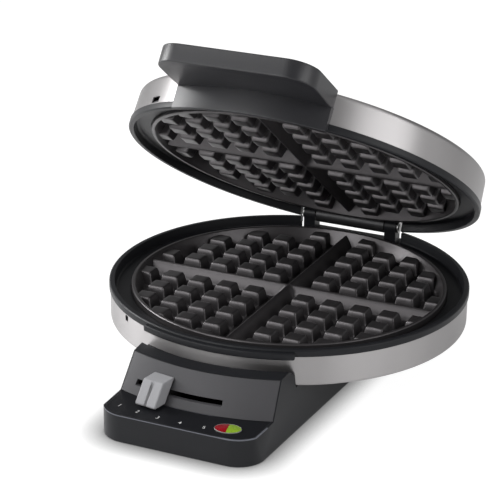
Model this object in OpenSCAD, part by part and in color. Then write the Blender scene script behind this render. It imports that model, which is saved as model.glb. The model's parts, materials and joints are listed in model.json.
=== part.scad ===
// Round waffle maker with a tilting lid, a pedestal base and a browning lever.
// Frame: +Z up, the front with the browning lever faces -Y, and the origin is on
// the pans' upright axis at table level. All lengths are in millimetres.

/* [Pans] */
// Outer radius of both black rims
pan_r = 99; // [94:0.5:108]
// Height of the lower rim above the table
rim_z = 43; // [41:0.5:52]
// Gap between the two rims when the lid is shut
lid_gap = 0.4; // [0.3:0.1:1.5]
// Angle of the lid from shut, as shown
lid_open = 35.7; // [5:0.1:95]
// Height of a rim's outer side face
rim_side = 3.8; // [2.5:0.1:5]
// Width of a rim's flat face
rim_w = 3; // [2:0.1:5]
// Bevel on a rim's outer edge
rim_edge = 0.6; // [0.2:0.1:1.2]
// Depth of the overflow gutter in the lower rim
gutter_low = 5.8; // [4:0.1:7.5]
// Depth of the matching recess in the lid's rim
gutter_lid = 4.5; // [3.5:0.1:6]
// Wall of the plastic rims
rim_wall = 1.6; // [1:0.1:2.2]
// Step from the rim in to the steel band
band_step = 0.7; // [0.3:0.1:1.5]
// Thickness of the steel bands
band_t = 0.7; // [0.5:0.05:1.2]
// Height of the lower steel band
band_low_h = 16.3; // [14:0.1:22]
// Width of the inward lip under the lower band
band_lip = 6; // [3:0.5:8]
// Drop of the bottom pan's floor below the band
pan_drop = 5.3; // [4:0.1:6]
// Thickness of the bottom pan
pan_t = 0.8; // [0.6:0.1:1.2]

/* [Lid] */
// Height of the lid's steel side above its rim
lid_side_h = 17.2; // [15.5:0.1:24]
// Rounding where the lid's side turns into its top
lid_shoulder = 3; // [1.5:0.1:5]
// Rise of the domed top above the shoulder
dome_rise = 8; // [7:0.1:12]
// Length of the rim's latch slot in the lid's steel side
slot_w = 7.4; // [4:0.1:12]
// Height of that slot
slot_h = 3.4; // [2:0.1:5]
// Size of the rim's latch notch in the lower steel band
notch_w = 3.2; // [2:0.1:6]
// Angle of both from the front, towards the left
slot_angle = 37.5; // [33:0.5:55]

/* [Handle] */
// Width of the lid's handle
handle_w = 87; // [70:0.1:100]
// How far the handle's front face stands out past the rims
handle_out = 32; // [24:0.5:38]
// Thickness of the handle's front face
handle_t = 9.8; // [8:0.1:12]
// Depth of the handle's front top edge below the top of the lid's side
handle_sink = 0.2; // [0:0.1:2]
// Rise of the handle's top face towards the lid
handle_rise = 1; // [0:0.1:2]
// Rounding of the handle's front corners in plan
handle_corner = 18; // [6:0.5:24]
// How far the skirts stand proud of the rims
skirt_proud = 2.2; // [1.2:0.1:4]
// How far the handle's skirt hangs below the lid's rim face
skirt_drop = 1.2; // [0.5:0.1:2]
// Height of the proud lip on the lower rim
lip_front_h = 3.6; // [2.5:0.1:5]

/* [Cooking plates] */
// Width of the rim's land, from the lip round the cooking well out to the rim's edge
rim_land = 12.2; // [9:0.1:14.5]
// Width of the lip
lip_w = 2.2; // [1.6:0.1:3]
// Depth of the lip's crest below the rim face
lip_h = 2.3; // [1:0.1:3]
// Depth of the well's floor below the rim face
well_h = 11.3; // [10:0.1:12]
// Slope of the well's wall, as a step in radius
wall_draft = 3.1; // [1:0.1:5]
// Thickness of the cast plates
plate_t = 2.2; // [1.8:0.1:2.6]
// Width of the plates' mounting flange outside the lip
flange_w = 6; // [3:0.1:8]
// Spacing of the studs
stud_pitch = 16.5; // [15:0.1:18]
// Width of a stud's flat crest
stud_w = 9.2; // [7:0.1:10]
// Width of a stud at the floor
stud_base_w = 12.5; // [11:0.1:13.5]
// Distance from the dividing ridge's middle to the nearest crest edge
stud_near = 10.15; // [9:0.05:12]
// Depth of the studs' crests below the rim face
stud_h = 4.3; // [3.5:0.1:6]
// Depth of the dividing ridges' crests below the rim face
ridge_h = 4.4; // [3.5:0.1:6]
// Width of a dividing ridge at the floor
ridge_base_w = 11.5; // [8:0.1:13]
// Width of a dividing ridge's crest
ridge_w = 1.2; // [0.6:0.1:3]
// Studs counted outwards from each dividing ridge
stud_n = 5; // [3:1:5]

/* [Base] */
// Depth of the control shelf in front of the panel
shelf_d = 19.5; // [15.5:0.5:31.5]
// How far the base's rear face stands out past the rims
base_tail = 2; // [0.5:0.5:11]
// Half width of the base at its front face
base_half_front = 43.9; // [42:0.1:50]
// Half width of the base at its rear face
base_half_back = 52.2; // [49:0.1:58]
// Angle of the base's sides from upright
base_draft = 6.3; // [0:0.1:8]
// Rounding of the base's front corners
base_corner = 15; // [10:0.5:18]
// Rounding of the base's rear corners
base_rear_corner = 8; // [5:0.5:10]
// Height of the control shelf
shelf_z = 15; // [14:0.1:16.5]
// Wall of the base's moulding
base_wall = 2.2; // [1.8:0.1:2.6]
// Thickness of the rubber pads, which lie flush with the base's rim
foot_t = 1.2; // [0.8:0.1:1.6]
// Radius of the rubber pads
foot_r = 7; // [5:0.1:9]
// Thickness of the bottom cover
cover_t = 2; // [1.6:0.1:2.4]

/* [Controls] */
// How far the panel's foot stands out past the rims
panel_out = 25.5; // [23:0.1:28]
// Height of the panel's top edge
panel_top = 32.3; // [30:0.1:34]
// Step in radius between the panel's foot and its top edge
panel_lean = 12; // [10:0.1:14]
// Thickness of the panel
panel_t = 2; // [1.5:0.1:2.5]
// How far the ledge above the panel is highest out past the rims
ledge_out = 5.5; // [3:0.1:9]
// Rise of the ledge above the panel's top edge
ledge_rise = 1.2; // [0.5:0.1:2]
// Angle of the lever from the front, as shown; positive to the right
lever_angle = -9.2; // [-14.9:0.1:5.9]
// Angle of the lever at its lightest setting
lever_light = -14.9; // [-16:0.1:-12]
// Angle of the lever at its darkest setting
lever_dark = 5.9; // [4:0.1:8]
// Height of the middle of the lever's slot
lever_z = 20.55; // [19.5:0.05:21.5]
// Height of the lever's slot
lever_slot_h = 2.7; // [2.3:0.1:3.5]
// Thickness of the lever's strip where it passes the slot
stem_t = 1.5; // [1:0.1:1.8]
// Width of that strip
stem_w = 6; // [4:0.1:8]
// Width of the slider knob
knob_w = 12.4; // [10:0.1:15]
// Depth of the slider knob, out from the panel
knob_d = 9.9; // [8:0.1:12]
// Height of the slider knob
knob_h = 11.9; // [10:0.1:13]
// Radius of the thermostat's shaft
shaft_r = 3; // [2.5:0.1:3.5]
// Half length of the oval indicator lens
lens_a = 6.6; // [5:0.1:8]
// Half width of the oval indicator lens
lens_b = 4.6; // [3:0.1:5.5]
// Distance of the indicator lens in from the base's side
lens_in = 17.9; // [14:0.1:19.5]
// Radius of the neon lamps
lamp_r = 2; // [1.5:0.1:2.3]

/* [Hinge] */
// Distance of the hinge in from the rims' edge
hinge_in = 6.6; // [3:0.1:6.8]
// Height of the hinge above the lower rim
hinge_up = 2.9; // [2:0.1:4]
// Radius of the hinge pin
pin_r = 2; // [1.5:0.1:2.5]
// Outer radius of the hinge knuckles
knuckle_r = 4.5; // [4:0.1:5]
// Width of the lid's middle knuckle
knuckle_w = 43; // [38:0.5:45]
// Width of each ear on the base
ear_w = 7; // [5:0.1:8]
// Half width of the opening left for the hinge in the rims
hinge_half = 33; // [32.5:0.1:38]
// Thickness of the hinge bracket
bracket_t = 2; // [1.5:0.1:2.2]

/* [Heating] */
// Distance of the heater loops in from the edge of the well's floor
loop_in = 23.5; // [22.5:0.5:27.5]
// Radius of the heaters' tube
tube_r = 3; // [2.5:0.1:3.2]
// Angle left open on each side of a heater loop's middle
loop_gap = 12; // [9:0.5:20]
// Distance of the plate bosses in from the edge of the well's floor
boss_in = 11.5; // [8.5:0.5:13]
// Angle of the bosses from the front and the rear
boss_angle = 30; // [26:0.5:32]
// Radius of the plate bosses
boss_r = 4; // [3.5:0.1:4.5]
// Radius of the screws' shanks
screw_r = 1.6; // [1.2:0.1:1.9]
// Radius of the screws' heads
screw_head_r = 3; // [2.6:0.1:3.3]
// Height of the screws' heads
screw_head_h = 1; // [0.6:0.1:1.1]
// Thickness of the heat shields
shield_t = 0.6; // [0.4:0.1:0.9]
// Radius of the thermostat's body
thermostat_r = 11; // [9:0.1:12.5]
// Radius of the leads
lead_r = 1.1; // [0.8:0.1:1.4]

/* [Cord inlet] */
// Radius of the cord's hole in its grommet
cord_hole_r = 3.6; // [2.6:0.1:4]
// Wall of the grommet round the cord
grommet_wall = 1.4; // [1:0.1:1.8]

/* [Clearances] */
// Gap between pieces that seat in one another
seat = 0.3; // [0.2:0.05:0.4]
// Radial clearance of turning fits
running = 0.05; // [0.02:0.01:0.09]
// Radial clearance of screws in their threads
thread_fit = 0.03; // [0.01:0.01:0.1]
// Radial clearance of screws in plain holes
screw_fit = 0.3; // [0.2:0.05:0.5]
// Gap between the knob and the panel
knob_gap = 0.6; // [0.4:0.1:1]

/* [Hidden] */
$fn = 96;
eps = 0.01;
far = 300;

// Radii and depths shared by the two pans; a depth is measured from a rim's flat face
well_r = pan_r - rim_land;
band_r = pan_r - band_step;
spigot_r = band_r - band_t - seat;
rim_in_r = well_r + seat;
band_low_end = rim_side + band_low_h;
pan_floor_h = band_low_end + pan_drop;
dish_slope_w = 6;
dish_edge_r = spigot_r - 7.3;
dish_r = dish_edge_r - dish_slope_w;
pan_flange_r = spigot_r - 0.8;
plate_back_h = well_h + plate_t;
well_floor_r = well_r - lip_w - wall_draft;
loop_r = well_floor_r - loop_in;
boss_ring = well_floor_r - boss_in;
stud_draft = (stud_base_w - stud_w) / 2;
stud_keep_r = well_floor_r - 5.5;
heater_seat = 0.1;
terminal_len = 14;
terminal_pin_r = tube_r * 0.7;
terminal_angle = loop_gap + 2.5;
terminal_r = loop_r - terminal_len;
lead_turn_r = terminal_r - 6;
lead_hole_r = 3 * lead_r;
fuse_x = loop_r - 24;
fuse_r = 2.2;
fuse_up = fuse_r + 0.2;
fuse_len = 20;
fuse_clip_w = 6;
fuse_clip_d = 8;
heater_h = plate_back_h + heater_seat + tube_r;
clip_t = 0.8;
clip_l = 16;
clip_w = 8;
clip_post_r = 1.8;
clip_angles = [-90, 20, 160];
shield_low_h = heater_h + tube_r + heater_seat + clip_t + 0.2;
shield_lid_h = shield_low_h;
shield_lid_hole_r = 8;
plate_screw_bite = 5;
shield_r = well_floor_r + 0.5;
deck_z = rim_z - pan_floor_h;
lid_side_end = rim_side + lid_side_h;
cover_edge_r = band_r - 0.6;
handle_top = lid_side_end - handle_sink;
handle_under = handle_top - handle_t;
handle_reach = pan_r + handle_out;
hinge_y = pan_r - hinge_in;
hinge_z = rim_z + hinge_up;
skirt_r = pan_r + skirt_proud;

// Base
panel_r = pan_r + panel_out;
ledge_r = pan_r + ledge_out;
base_front = panel_r + shelf_d;
base_back = pan_r + base_tail;
plan_slope = (base_half_back - base_half_front) / (base_front + base_back);
cover_top_z = foot_t + cover_t;
column_top_z = rim_z - 7;
column_in_r = well_r + 2 * seat;
column_half = hinge_half - 1.5;
relief_y = pan_r - 21;
post_r = 4.5;
post_bite = 7;
post_in = base_wall + post_r - 0.7;
front_post_y = 2.5 - panel_r;
rear_post_y = pan_r - 29;
legend_t = 0.8;
legend_z = shelf_z - legend_t;
legend_inset = 1.6;
legend_gap = 0.2;
panel_edge = 0.6;
panel_gap = 0.1;
lens_gap = 0.1;
shelf_under_z = legend_z - base_wall;
panel_slope = panel_lean / (panel_top - shelf_z);
box_back_r = pan_r + seat;
neck_in_r = dish_edge_r + 1;
neck_top_z = panel_top - 2.6;
neck_top_h = rim_z - neck_top_z - seat;
neck_drop = band_low_end - neck_top_h;
neck_half = base_half_front - 2.5;
notch_lean = 1.1;
notch_corner = 1.6;
notch_side = 12;

// Controls
arm_z = 7;
arm_t = 2;
arm_w = 10;
arm_reach = box_back_r + 7.7;
stem_reach = panel_face_r(lever_z) + knob_gap + knob_d - 3;
knob_low_z = shelf_z + 0.9;
lens_r = panel_r + 11.9;
lens_x = base_half_front - lens_in;
lens_angle = asin(lens_x / lens_r);
lens_y = -lens_r * cos(lens_angle);
lens_rise = 0.4;
bezel_w = 0.8;
lamp_z = cover_top_z + 4.4;

// Wiring
lead_x = 8;
lead_y = 20;
grommet_r = cord_hole_r + grommet_wall;
grommet_z = cover_top_z + grommet_r + 2;
block_w = 30;
block_d = 12;
block_y = base_back - 33;
block_top_z = cover_top_z + 7;

// Hinge
ear_in = knuckle_w / 2 + 0.5;
pin_clip_t = 0.8;
pin_clip_w = 1.4;
pin_clip_x = ear_in + ear_w + 0.7;
pin_len = 2 * (pin_clip_x + pin_clip_t);
cover_side = 8;
bracket_h = plate_back_h;
bracket_front = loop_r + tube_r + 0.5;

// -------------------------------------------------- outlines and helpers
function unit(v) = v / norm(v);
function turn(a) = a > 180 ? a - 360 : a < -180 ? a + 360 : a;
// Points of an arc that rounds the corner b between a and c
function corner_arc(a, b, c, r, n) =
    let (u = unit(a - b), v = unit(c - b), half = acos(u * v) / 2,
         mid = b + unit(u + v) * r / sin(half),
         s = b + u * r / tan(half) - mid, e = b + v * r / tan(half) - mid,
         a0 = atan2(s.y, s.x), sweep = turn(atan2(e.y, e.x) - a0))
    [for (i = [0 : n]) mid + r * [cos(a0 + sweep * i / n), sin(a0 + sweep * i / n)]];
// Closed outline through pts with every corner rounded by its own radius
function rounded(pts, radii, n = 10) =
    let (m = len(pts))
    [for (i = [0 : m - 1])
        each corner_arc(pts[(i + m - 1) % m], pts[i], pts[(i + 1) % m], radii[i], n)];
function base_half(y) = base_half_front + (y + base_front) * plan_slope;
function base_plan(inset) =
    rounded([[-base_half_front + inset, -base_front + inset],
             [base_half_front - inset, -base_front + inset],
             [base_half_back - inset, base_back - inset],
             [-base_half_back + inset, base_back - inset]],
            [base_corner - inset, base_corner - inset,
             base_rear_corner - inset, base_rear_corner - inset]);
function ellipse(a, b, n = 40) = [for (i = [0 : n - 1]) [a * cos(360 * i / n), b * sin(360 * i / n)]];
function panel_face_r(z) = panel_r - (z - shelf_z) * panel_slope;
function stud_corner(i) = stud_near - stud_draft + i * stud_pitch;
// How many studs of a row at step i lie far enough inside the well
function stud_run(i) =
    len([for (j = [0 : stud_n - 1]) if (norm([stud_corner(i), stud_corner(j)]) < stud_keep_r) j]);

module slab(w, y0, y1, z0, z1) translate([-w / 2, y0, z0]) cube([w, y1 - y0, z1 - z0]);
module disc(r, z0, z1) translate([0, 0, z0]) cylinder(r = r, h = z1 - z0);
module ring(r0, r1, z0, z1) difference() {
    disc(r1, z0, z1);
    disc(r0, z0 - 1, z1 + 1);
}
// Block of the base's plan, inset all round, with its sides drawn in towards the top
module base_block(inset, z0, z1) intersection() {
    translate([0, 0, z0]) linear_extrude(z1 - z0) polygon(base_plan(inset));
    intersection_for(s = [-1, 1])
        translate([s * (base_half_front - inset), -base_front, 0])
            rotate([0, 0, -s * atan(plan_slope)]) rotate([0, -s * base_draft, 0])
                translate([s > 0 ? -far : 0, -far, -far]) cube([far, 3 * far, 2 * far]);
}
module spin(pts) rotate_extrude() polygon(pts);
// Straight round bar between two points
module rod(a, b, r) {
    v = b - a;
    translate(a) rotate([0, acos(v.z / norm(v)), atan2(v.y, v.x)]) cylinder(r = r, h = norm(v));
}
module lead(pts) {
    for (i = [0 : len(pts) - 2]) rod(pts[i], pts[i + 1], lead_r);
    for (i = [1 : len(pts) - 2]) translate(pts[i]) sphere(lead_r * 1.04);
}
// Screw with its head's seat at z = 0 and its shank downwards
module screw(len) {
    cylinder(r = screw_head_r, h = screw_head_h);
    translate([0, 0, -len]) cylinder(r = screw_r, h = len + eps);
}
module at_bosses()
    for (a = [90 - boss_angle, 90 + boss_angle, -90 - boss_angle, -90 + boss_angle])
        rotate([0, 0, a]) translate([boss_ring, 0, 0]) children();

// Places a lower part that is drawn with its depth below the rim face as +Z
module lower_half() translate([0, 0, rim_z]) mirror([0, 0, 1]) children();
// Places a lid part that is drawn shut, and tilts it about the hinge
module lid_pose() translate([0, hinge_y, hinge_z]) rotate([-lid_open, 0, 0])
    translate([0, -hinge_y, -hinge_z]) children();
// Places a lid part that is drawn with its height above the rim face as +Z
module upper_half() lid_pose() translate([0, 0, rim_z + lid_gap]) children();
// Block that clears the hinge out of the rims, bands, flanges and bottom pan
module rear_relief(z0, z1) difference() {
    slab(2 * hinge_half, relief_y, far, z0, z1);
    disc(well_r + seat / 2, z0 - 1, z1 + 1);
}
module latch_slot(w, tall) rotate([0, 0, -slot_angle])
    slab(w, -far, -pan_r + 12, rim_side + 0.9, rim_side + 0.9 + tall);

// -------------------------------------------------- pieces common to both pans
module rim_ring(gutter) difference() {
    spin([[pan_r - rim_edge, 0], [pan_r, rim_edge], [pan_r, rim_side], [spigot_r, rim_side],
          [spigot_r, gutter + rim_wall], [rim_in_r, gutter + rim_wall], [rim_in_r, gutter],
          [pan_r - rim_w - rim_edge, gutter], [pan_r - rim_w, 0]]);
    rear_relief(-1, gutter + rim_wall + 1);
}

// Bars of tapered section along Y, one for each step of studs on both sides
module stud_bars() for (side = [-1, 1], i = [0 : stud_n - 1]) {
    reach = stud_corner(stud_run(i) - 1) + stud_base_w + stud_draft / 2;
    x0 = stud_corner(i);
    rotate([90, 0, 0]) linear_extrude(2 * reach, center = true)
        polygon([for (p = [[x0, well_h + 0.5], [x0 + stud_draft, stud_h],
                           [x0 + stud_draft + stud_w, stud_h], [x0 + stud_base_w, well_h + 0.5]])
                 [side * p.x, p.y]]);
}
module ridge() rotate([90, 0, 0]) linear_extrude(2 * (well_r - lip_w), center = true)
    polygon([[-ridge_base_w / 2, well_h + 0.5], [-ridge_w / 2, ridge_h],
             [ridge_w / 2, ridge_h], [ridge_base_w / 2, well_h + 0.5]]);
module boss(depth) difference() {
    disc(boss_r, plate_back_h - eps, depth);
    disc(screw_r + thread_fit, plate_back_h + 0.5, depth + 1);
}
module waffle_plate(flange_h, boss_end) difference() {
    union() {
        spin([[0, well_h], [well_floor_r, well_h], [well_r - lip_w, lip_h + 0.5],
              [well_r - lip_w + 0.5, lip_h], [well_r - 0.5, lip_h], [well_r, lip_h + 0.5],
              [well_r, flange_h], [well_r + flange_w, flange_h],
              [well_r + flange_w, flange_h + plate_t], [well_r - 0.4, flange_h + plate_t],
              [well_floor_r + 1.2, plate_back_h], [0, plate_back_h]]);
        intersection() {
            stud_bars();
            rotate([0, 0, 90]) stud_bars();
            disc(well_r - lip_w / 2, stud_h - 1, well_h + 1);
        }
        ridge();
        rotate([0, 0, 90]) ridge();
        at_bosses() boss(boss_end);
    }
    rear_relief(flange_h - 1, flange_h + plate_t + 1);
}
// Point beside a heater's terminal, at a radius and a depth
function by_terminal(side, r, h) = [side * r * sin(terminal_angle), r * cos(terminal_angle), h];
module heater() {
    rotate([0, 0, 90 + loop_gap]) rotate_extrude(angle = 360 - 2 * loop_gap)
        translate([loop_r, heater_h]) circle(tube_r);
    for (s = [-1, 1]) rotate([0, 0, 90 + s * terminal_angle]) translate([terminal_r, 0, heater_h])
        rotate([0, 90, 0]) cylinder(r = terminal_pin_r, h = terminal_len);
}
module heater_clips() for (a = clip_angles) rotate([0, 0, a]) translate([loop_r, 0, 0]) {
    top_h = heater_h + tube_r + heater_seat;
    slab(clip_l, -clip_w / 2, clip_w / 2, top_h, top_h + clip_t);
    for (s = [-1, 1]) translate([s * (clip_l / 2 - clip_post_r - 0.2), 0, 0])
        disc(clip_post_r, plate_back_h, top_h + eps);
}
module heat_shield(h, hole) difference() {
    disc(shield_r, h, h + shield_t);
    disc(hole, h - 1, h + shield_t + 1);
    at_bosses() disc(screw_r + screw_fit, h - 1, h + shield_t + 1);
    for (s = [-1, 1]) translate(by_terminal(s, lead_turn_r, 0))
        disc(lead_hole_r, h - 1, h + shield_t + 1);
}
module fuse() {
    translate([-fuse_x, 0, plate_back_h + fuse_up]) rotate([-90, 0, 0])
        cylinder(r = fuse_r, h = fuse_len, center = true);
    translate([-fuse_x, 0, plate_back_h]) difference() {
        slab(fuse_clip_w, -fuse_clip_d / 2, fuse_clip_d / 2, 0, fuse_up + fuse_r + 0.8);
        translate([0, 0, fuse_up]) rotate([-90, 0, 0])
            cylinder(r = fuse_r + eps, h = fuse_clip_d + 2, center = true);
    }
}

// -------------------------------------------------- lid
module lid_cover() color("silver") upper_half() difference() {
    top = lid_side_end;
    arc_n = 6;
    dome_n = 14;
    shoulder_r = cover_edge_r - lid_shoulder;
    outer = concat(
        [[band_r, rim_side]],
        [for (i = [0 : arc_n]) [shoulder_r + lid_shoulder * cos(80 * i / arc_n),
                                top - lid_shoulder * (1 - sin(80 * i / arc_n))]],
        [for (i = [1 : dome_n])
            [shoulder_r * (1 - i / dome_n), top + dome_rise * (1 - pow(1 - i / dome_n, 2))]]);
    inner = concat(
        [for (i = [dome_n : -1 : 1])
            [shoulder_r * (1 - i / dome_n),
             top - band_t + dome_rise * (1 - pow(1 - i / dome_n, 2))]],
        [for (i = [arc_n : -1 : 0])
            [shoulder_r + (lid_shoulder - band_t) * cos(80 * i / arc_n),
             top - lid_shoulder + (lid_shoulder - band_t) * sin(80 * i / arc_n)]],
        [[band_r - band_t, rim_side]]);
    spin(concat(outer, inner));
    rear_relief(0, bracket_h - 1.5);
    latch_slot(slot_w, slot_h);
    at_handle_screws() cylinder(r = screw_r + screw_fit, h = 2 * handle_hole, center = true);
}
module lid_rim() color([0.09, 0.09, 0.1]) upper_half() rim_ring(gutter_lid);
handle_screw_x = handle_w * 0.28;
handle_screw_len = 17;
handle_hole = handle_screw_len + 3;
handle_tuck = 15;
handle_root = 1;
handle_screw_h = handle_top - handle_t / 2;
handle_seat_y = sqrt(pow(cover_edge_r - band_t, 2) - pow(handle_screw_x + screw_head_r, 2));
module at_handle_screws() for (s = [-1, 1])
    translate([s * handle_screw_x, seat / 2 - handle_seat_y, handle_screw_h])
        rotate([-90, 0, 0]) children();
module lid_handle() color([0.1, 0.1, 0.11]) upper_half() difference() {
    back_y = handle_tuck - pan_r;
    union() {
        intersection() {
            rotate([90, 0, 90]) linear_extrude(handle_w, center = true)
                polygon([[-handle_reach, handle_under], [back_y, handle_under],
                         [back_y, handle_top + handle_rise], [-handle_reach, handle_top]]);
            linear_extrude(3 * handle_top) polygon(
                rounded([[-handle_w / 2, -handle_reach], [handle_w / 2, -handle_reach],
                         [handle_w / 2, 0], [-handle_w / 2, 0]],
                        [handle_corner, handle_corner, 1, 1]));
        }
        intersection() {
            disc(skirt_r, -skirt_drop, handle_under + handle_root);
            slab(handle_w, -far, -pan_r / 2, -skirt_drop, handle_under + handle_root);
        }
    }
    disc(pan_r + seat / 2, -far, rim_side + seat);
    disc(band_r + seat / 2, rim_side, lid_side_end + 0.8);
    disc(band_r - 4, 0, far);
    at_handle_screws() translate([0, 0, -handle_hole])
        cylinder(r = screw_r + thread_fit, h = handle_hole);
}
module handle_screws() color("gray") upper_half() at_handle_screws() screw(handle_screw_len);
module upper_plate() color([0.28, 0.27, 0.27]) upper_half()
    waffle_plate(gutter_lid + rim_wall, shield_lid_h);
module upper_heater() color([0.45, 0.42, 0.38]) upper_half() heater();
module upper_heater_clips() color("lightgray") upper_half() heater_clips();
module upper_heat_shield() color("gainsboro") upper_half()
    heat_shield(shield_lid_h, shield_lid_hole_r);
module upper_plate_screws() color("gray") upper_half()
    at_bosses() translate([0, 0, shield_lid_h + shield_t]) screw(plate_screw_bite);
module upper_thermal_fuse() color("ivory") upper_half() fuse();
module lid_leads() color("firebrick") upper_half() for (s = [-1, 1])
    lead([by_terminal(s, terminal_r - 0.1, heater_h),
          by_terminal(s, lead_turn_r, heater_h),
          by_terminal(s, lead_turn_r, shield_lid_h + shield_t + 1.6),
          by_terminal(s, bracket_front + 3, shield_lid_h + shield_t + 1.6)]);
bracket_w = knuckle_w - 1;
bracket_screw_x = stud_near + stud_w / 2;
bracket_screw_y = bracket_front + 4.6;
module hinge_bracket() color("gray") upper_half() difference() {
    axis_h = hinge_up - lid_gap;
    web_y = hinge_y - knuckle_r + 1;
    union() {
        slab(bracket_w, bracket_front, web_y + bracket_t, bracket_h, bracket_h + bracket_t);
        slab(bracket_w, web_y, web_y + bracket_t, axis_h, bracket_h + bracket_t);
        translate([-knuckle_w / 2, hinge_y, axis_h]) rotate([0, 90, 0])
            cylinder(r = knuckle_r, h = knuckle_w);
    }
    translate([-far, hinge_y, axis_h]) rotate([0, 90, 0])
        cylinder(r = pin_r + running, h = 2 * far);
    for (s = [-1, 1]) translate([s * bracket_screw_x, bracket_screw_y, bracket_h - 1])
        cylinder(r = screw_r + screw_fit, h = bracket_t + 2);
}
module bracket_screws() color("gray") upper_half() for (s = [-1, 1])
    translate([s * bracket_screw_x, bracket_screw_y, bracket_h + bracket_t]) {
        cylinder(r = screw_head_r, h = screw_head_h);
        translate([0, 0, -bracket_t + eps]) cylinder(r = screw_r, h = bracket_t);
    }

// -------------------------------------------------- hinge
module hinge_pin() color("silver") translate([-pin_len / 2, hinge_y, hinge_z])
    rotate([0, 90, 0]) cylinder(r = pin_r, h = pin_len);
module pin_clips() color("gray") for (s = [-1, 1])
    translate([s * pin_clip_x, hinge_y, hinge_z]) rotate([0, 90, 0]) difference() {
        cylinder(r = pin_r + pin_clip_w, h = pin_clip_t, center = true);
        cylinder(r = pin_r + thread_fit, h = 2 * pin_clip_t, center = true);
    }
module hinge_cover() color([0.1, 0.1, 0.11]) hinge_cover_block(base_back);

// -------------------------------------------------- lower pan
module lower_rim() color([0.09, 0.09, 0.1]) lower_half() {
    rim_ring(gutter_low);
    difference() {
        intersection() {
            ring(spigot_r, skirt_r, skirt_drop, skirt_drop + lip_front_h);
            slab(handle_w, -far, 0, 0, 2 * rim_side);
        }
        disc(pan_r - rim_edge, 0, rim_side);
        disc(band_r + seat / 2, rim_side - eps, far);
    }
}
// Room that the base's neck takes through the foot of the band and the pan's flange
module neck_notch() difference() {
    translate([0, 0, neck_top_h]) rotate([90, 0, 0]) linear_extrude(far)
        polygon(rounded(
            [[-neck_half, 0], [neck_half, 0], [neck_half + notch_lean, neck_drop],
             [neck_half + notch_side, neck_drop + 1], [neck_half + notch_side, far],
             [-neck_half - notch_side, far], [-neck_half - notch_side, neck_drop + 1],
             [-neck_half - notch_lean, neck_drop]],
            [1, 1, notch_corner, 0.1, 0.1, 0.1, 0.1, notch_corner]));
    disc(neck_in_r - seat, 0, far);
}
module lower_band() color("silver") lower_half() difference() {
    spin([[band_r - band_t, rim_side], [band_r, rim_side], [band_r, band_low_end - 1.2],
          [band_r - 1.2, band_low_end], [band_r - band_lip, band_low_end],
          [band_r - band_lip, band_low_end - band_t], [band_r - 1.5, band_low_end - band_t],
          [band_r - band_t, band_low_end - 1.5]]);
    rear_relief(0, far);
    neck_notch();
    latch_slot(notch_w, notch_w);
}
module lower_pan() color([0.2, 0.2, 0.21]) lower_half() difference() {
    flange_h = band_low_end - band_t;
    spin([[0, pan_floor_h], [dish_r, pan_floor_h], [dish_edge_r, flange_h],
          [pan_flange_r, flange_h], [pan_flange_r, flange_h - pan_t],
          [dish_edge_r - 0.4, flange_h - pan_t], [dish_r - 0.4, pan_floor_h - pan_t],
          [0, pan_floor_h - pan_t]]);
    rear_relief(0, far);
    neck_notch();
    disc(collar_r + seat, pan_floor_h - 5, pan_floor_h + 5);
    at_bosses() disc(screw_r + screw_fit, pan_floor_h - 5, pan_floor_h + 5);
    for (s = [-1, 1]) translate([s * lead_x, lead_y, 0])
        disc(2 * lead_r, pan_floor_h - 5, pan_floor_h + 5);
}
module lower_plate() color([0.28, 0.27, 0.27]) lower_half()
    waffle_plate(gutter_low + rim_wall, shield_low_h);
module lower_heater() color([0.45, 0.42, 0.38]) lower_half() heater();
module lower_heater_clips() color("lightgray") lower_half() heater_clips();
module lower_heat_shield() color("gainsboro") lower_half()
    heat_shield(shield_low_h, thermostat_r + 1);
module plate_pillars() color("gray") lower_half() at_bosses()
    ring(screw_r + screw_fit, boss_r, shield_low_h + shield_t, pan_floor_h - pan_t);
module lower_plate_screws() color("gray") at_bosses()
    translate([0, 0, deck_z - base_wall]) mirror([0, 0, 1])
        screw(base_wall + pan_floor_h - shield_low_h + plate_screw_bite);

// -------------------------------------------------- thermostat and browning lever
collar_r = shaft_r + 2.5;
shaft_top_z = rim_z - plate_back_h - 4;
thermostat_under_z = rim_z - shield_low_h - 1;
collar_end_z = deck_z - base_wall - 1;
module thermostat() color([0.85, 0.83, 0.78]) difference() {
    union() {
        disc(thermostat_r, thermostat_under_z, rim_z - plate_back_h);
        disc(collar_r, collar_end_z, thermostat_under_z + 1);
        slab(2 * thermostat_r + 12, -4, 4, rim_z - plate_back_h - 1.2, rim_z - plate_back_h);
    }
    disc(shaft_r + running, collar_end_z - 1, shaft_top_z + 0.3);
    for (s = [-1, 1]) translate([s * (thermostat_r + 3.4), 0, 0])
        disc(screw_r + screw_fit, 0, rim_z);
}
module thermostat_screws() color("gray") for (s = [-1, 1])
    translate([s * (thermostat_r + 3.4), 0, rim_z - plate_back_h - 1.2]) mirror([0, 0, 1])
        screw(1.2 - eps);
module thermal_fuse() color("ivory") lower_half() fuse();
module lever_pose() rotate([0, 0, lever_angle]) children();
module thermostat_shaft() color("gold") disc(shaft_r, arm_z - 0.5, shaft_top_z);
module control_arm() color("silver") lever_pose() difference() {
    union() {
        disc(shaft_r + 4, arm_z - 0.5, arm_z + arm_t + 1.5);
        slab(arm_w, -arm_reach, 0, arm_z, arm_z + arm_t);
        slab(arm_w, -arm_reach, -arm_reach + arm_t, arm_z, lever_z + stem_t / 2);
        slab(stem_w, -stem_reach, -arm_reach + eps, lever_z - stem_t / 2, lever_z + stem_t / 2);
    }
    disc(shaft_r + thread_fit, 0, arm_z + 10);
    translate([0, 0, arm_z + arm_t + 0.4]) rotate([-90, 0, 0]) cylinder(r = 0.8, h = 20);
}
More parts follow.
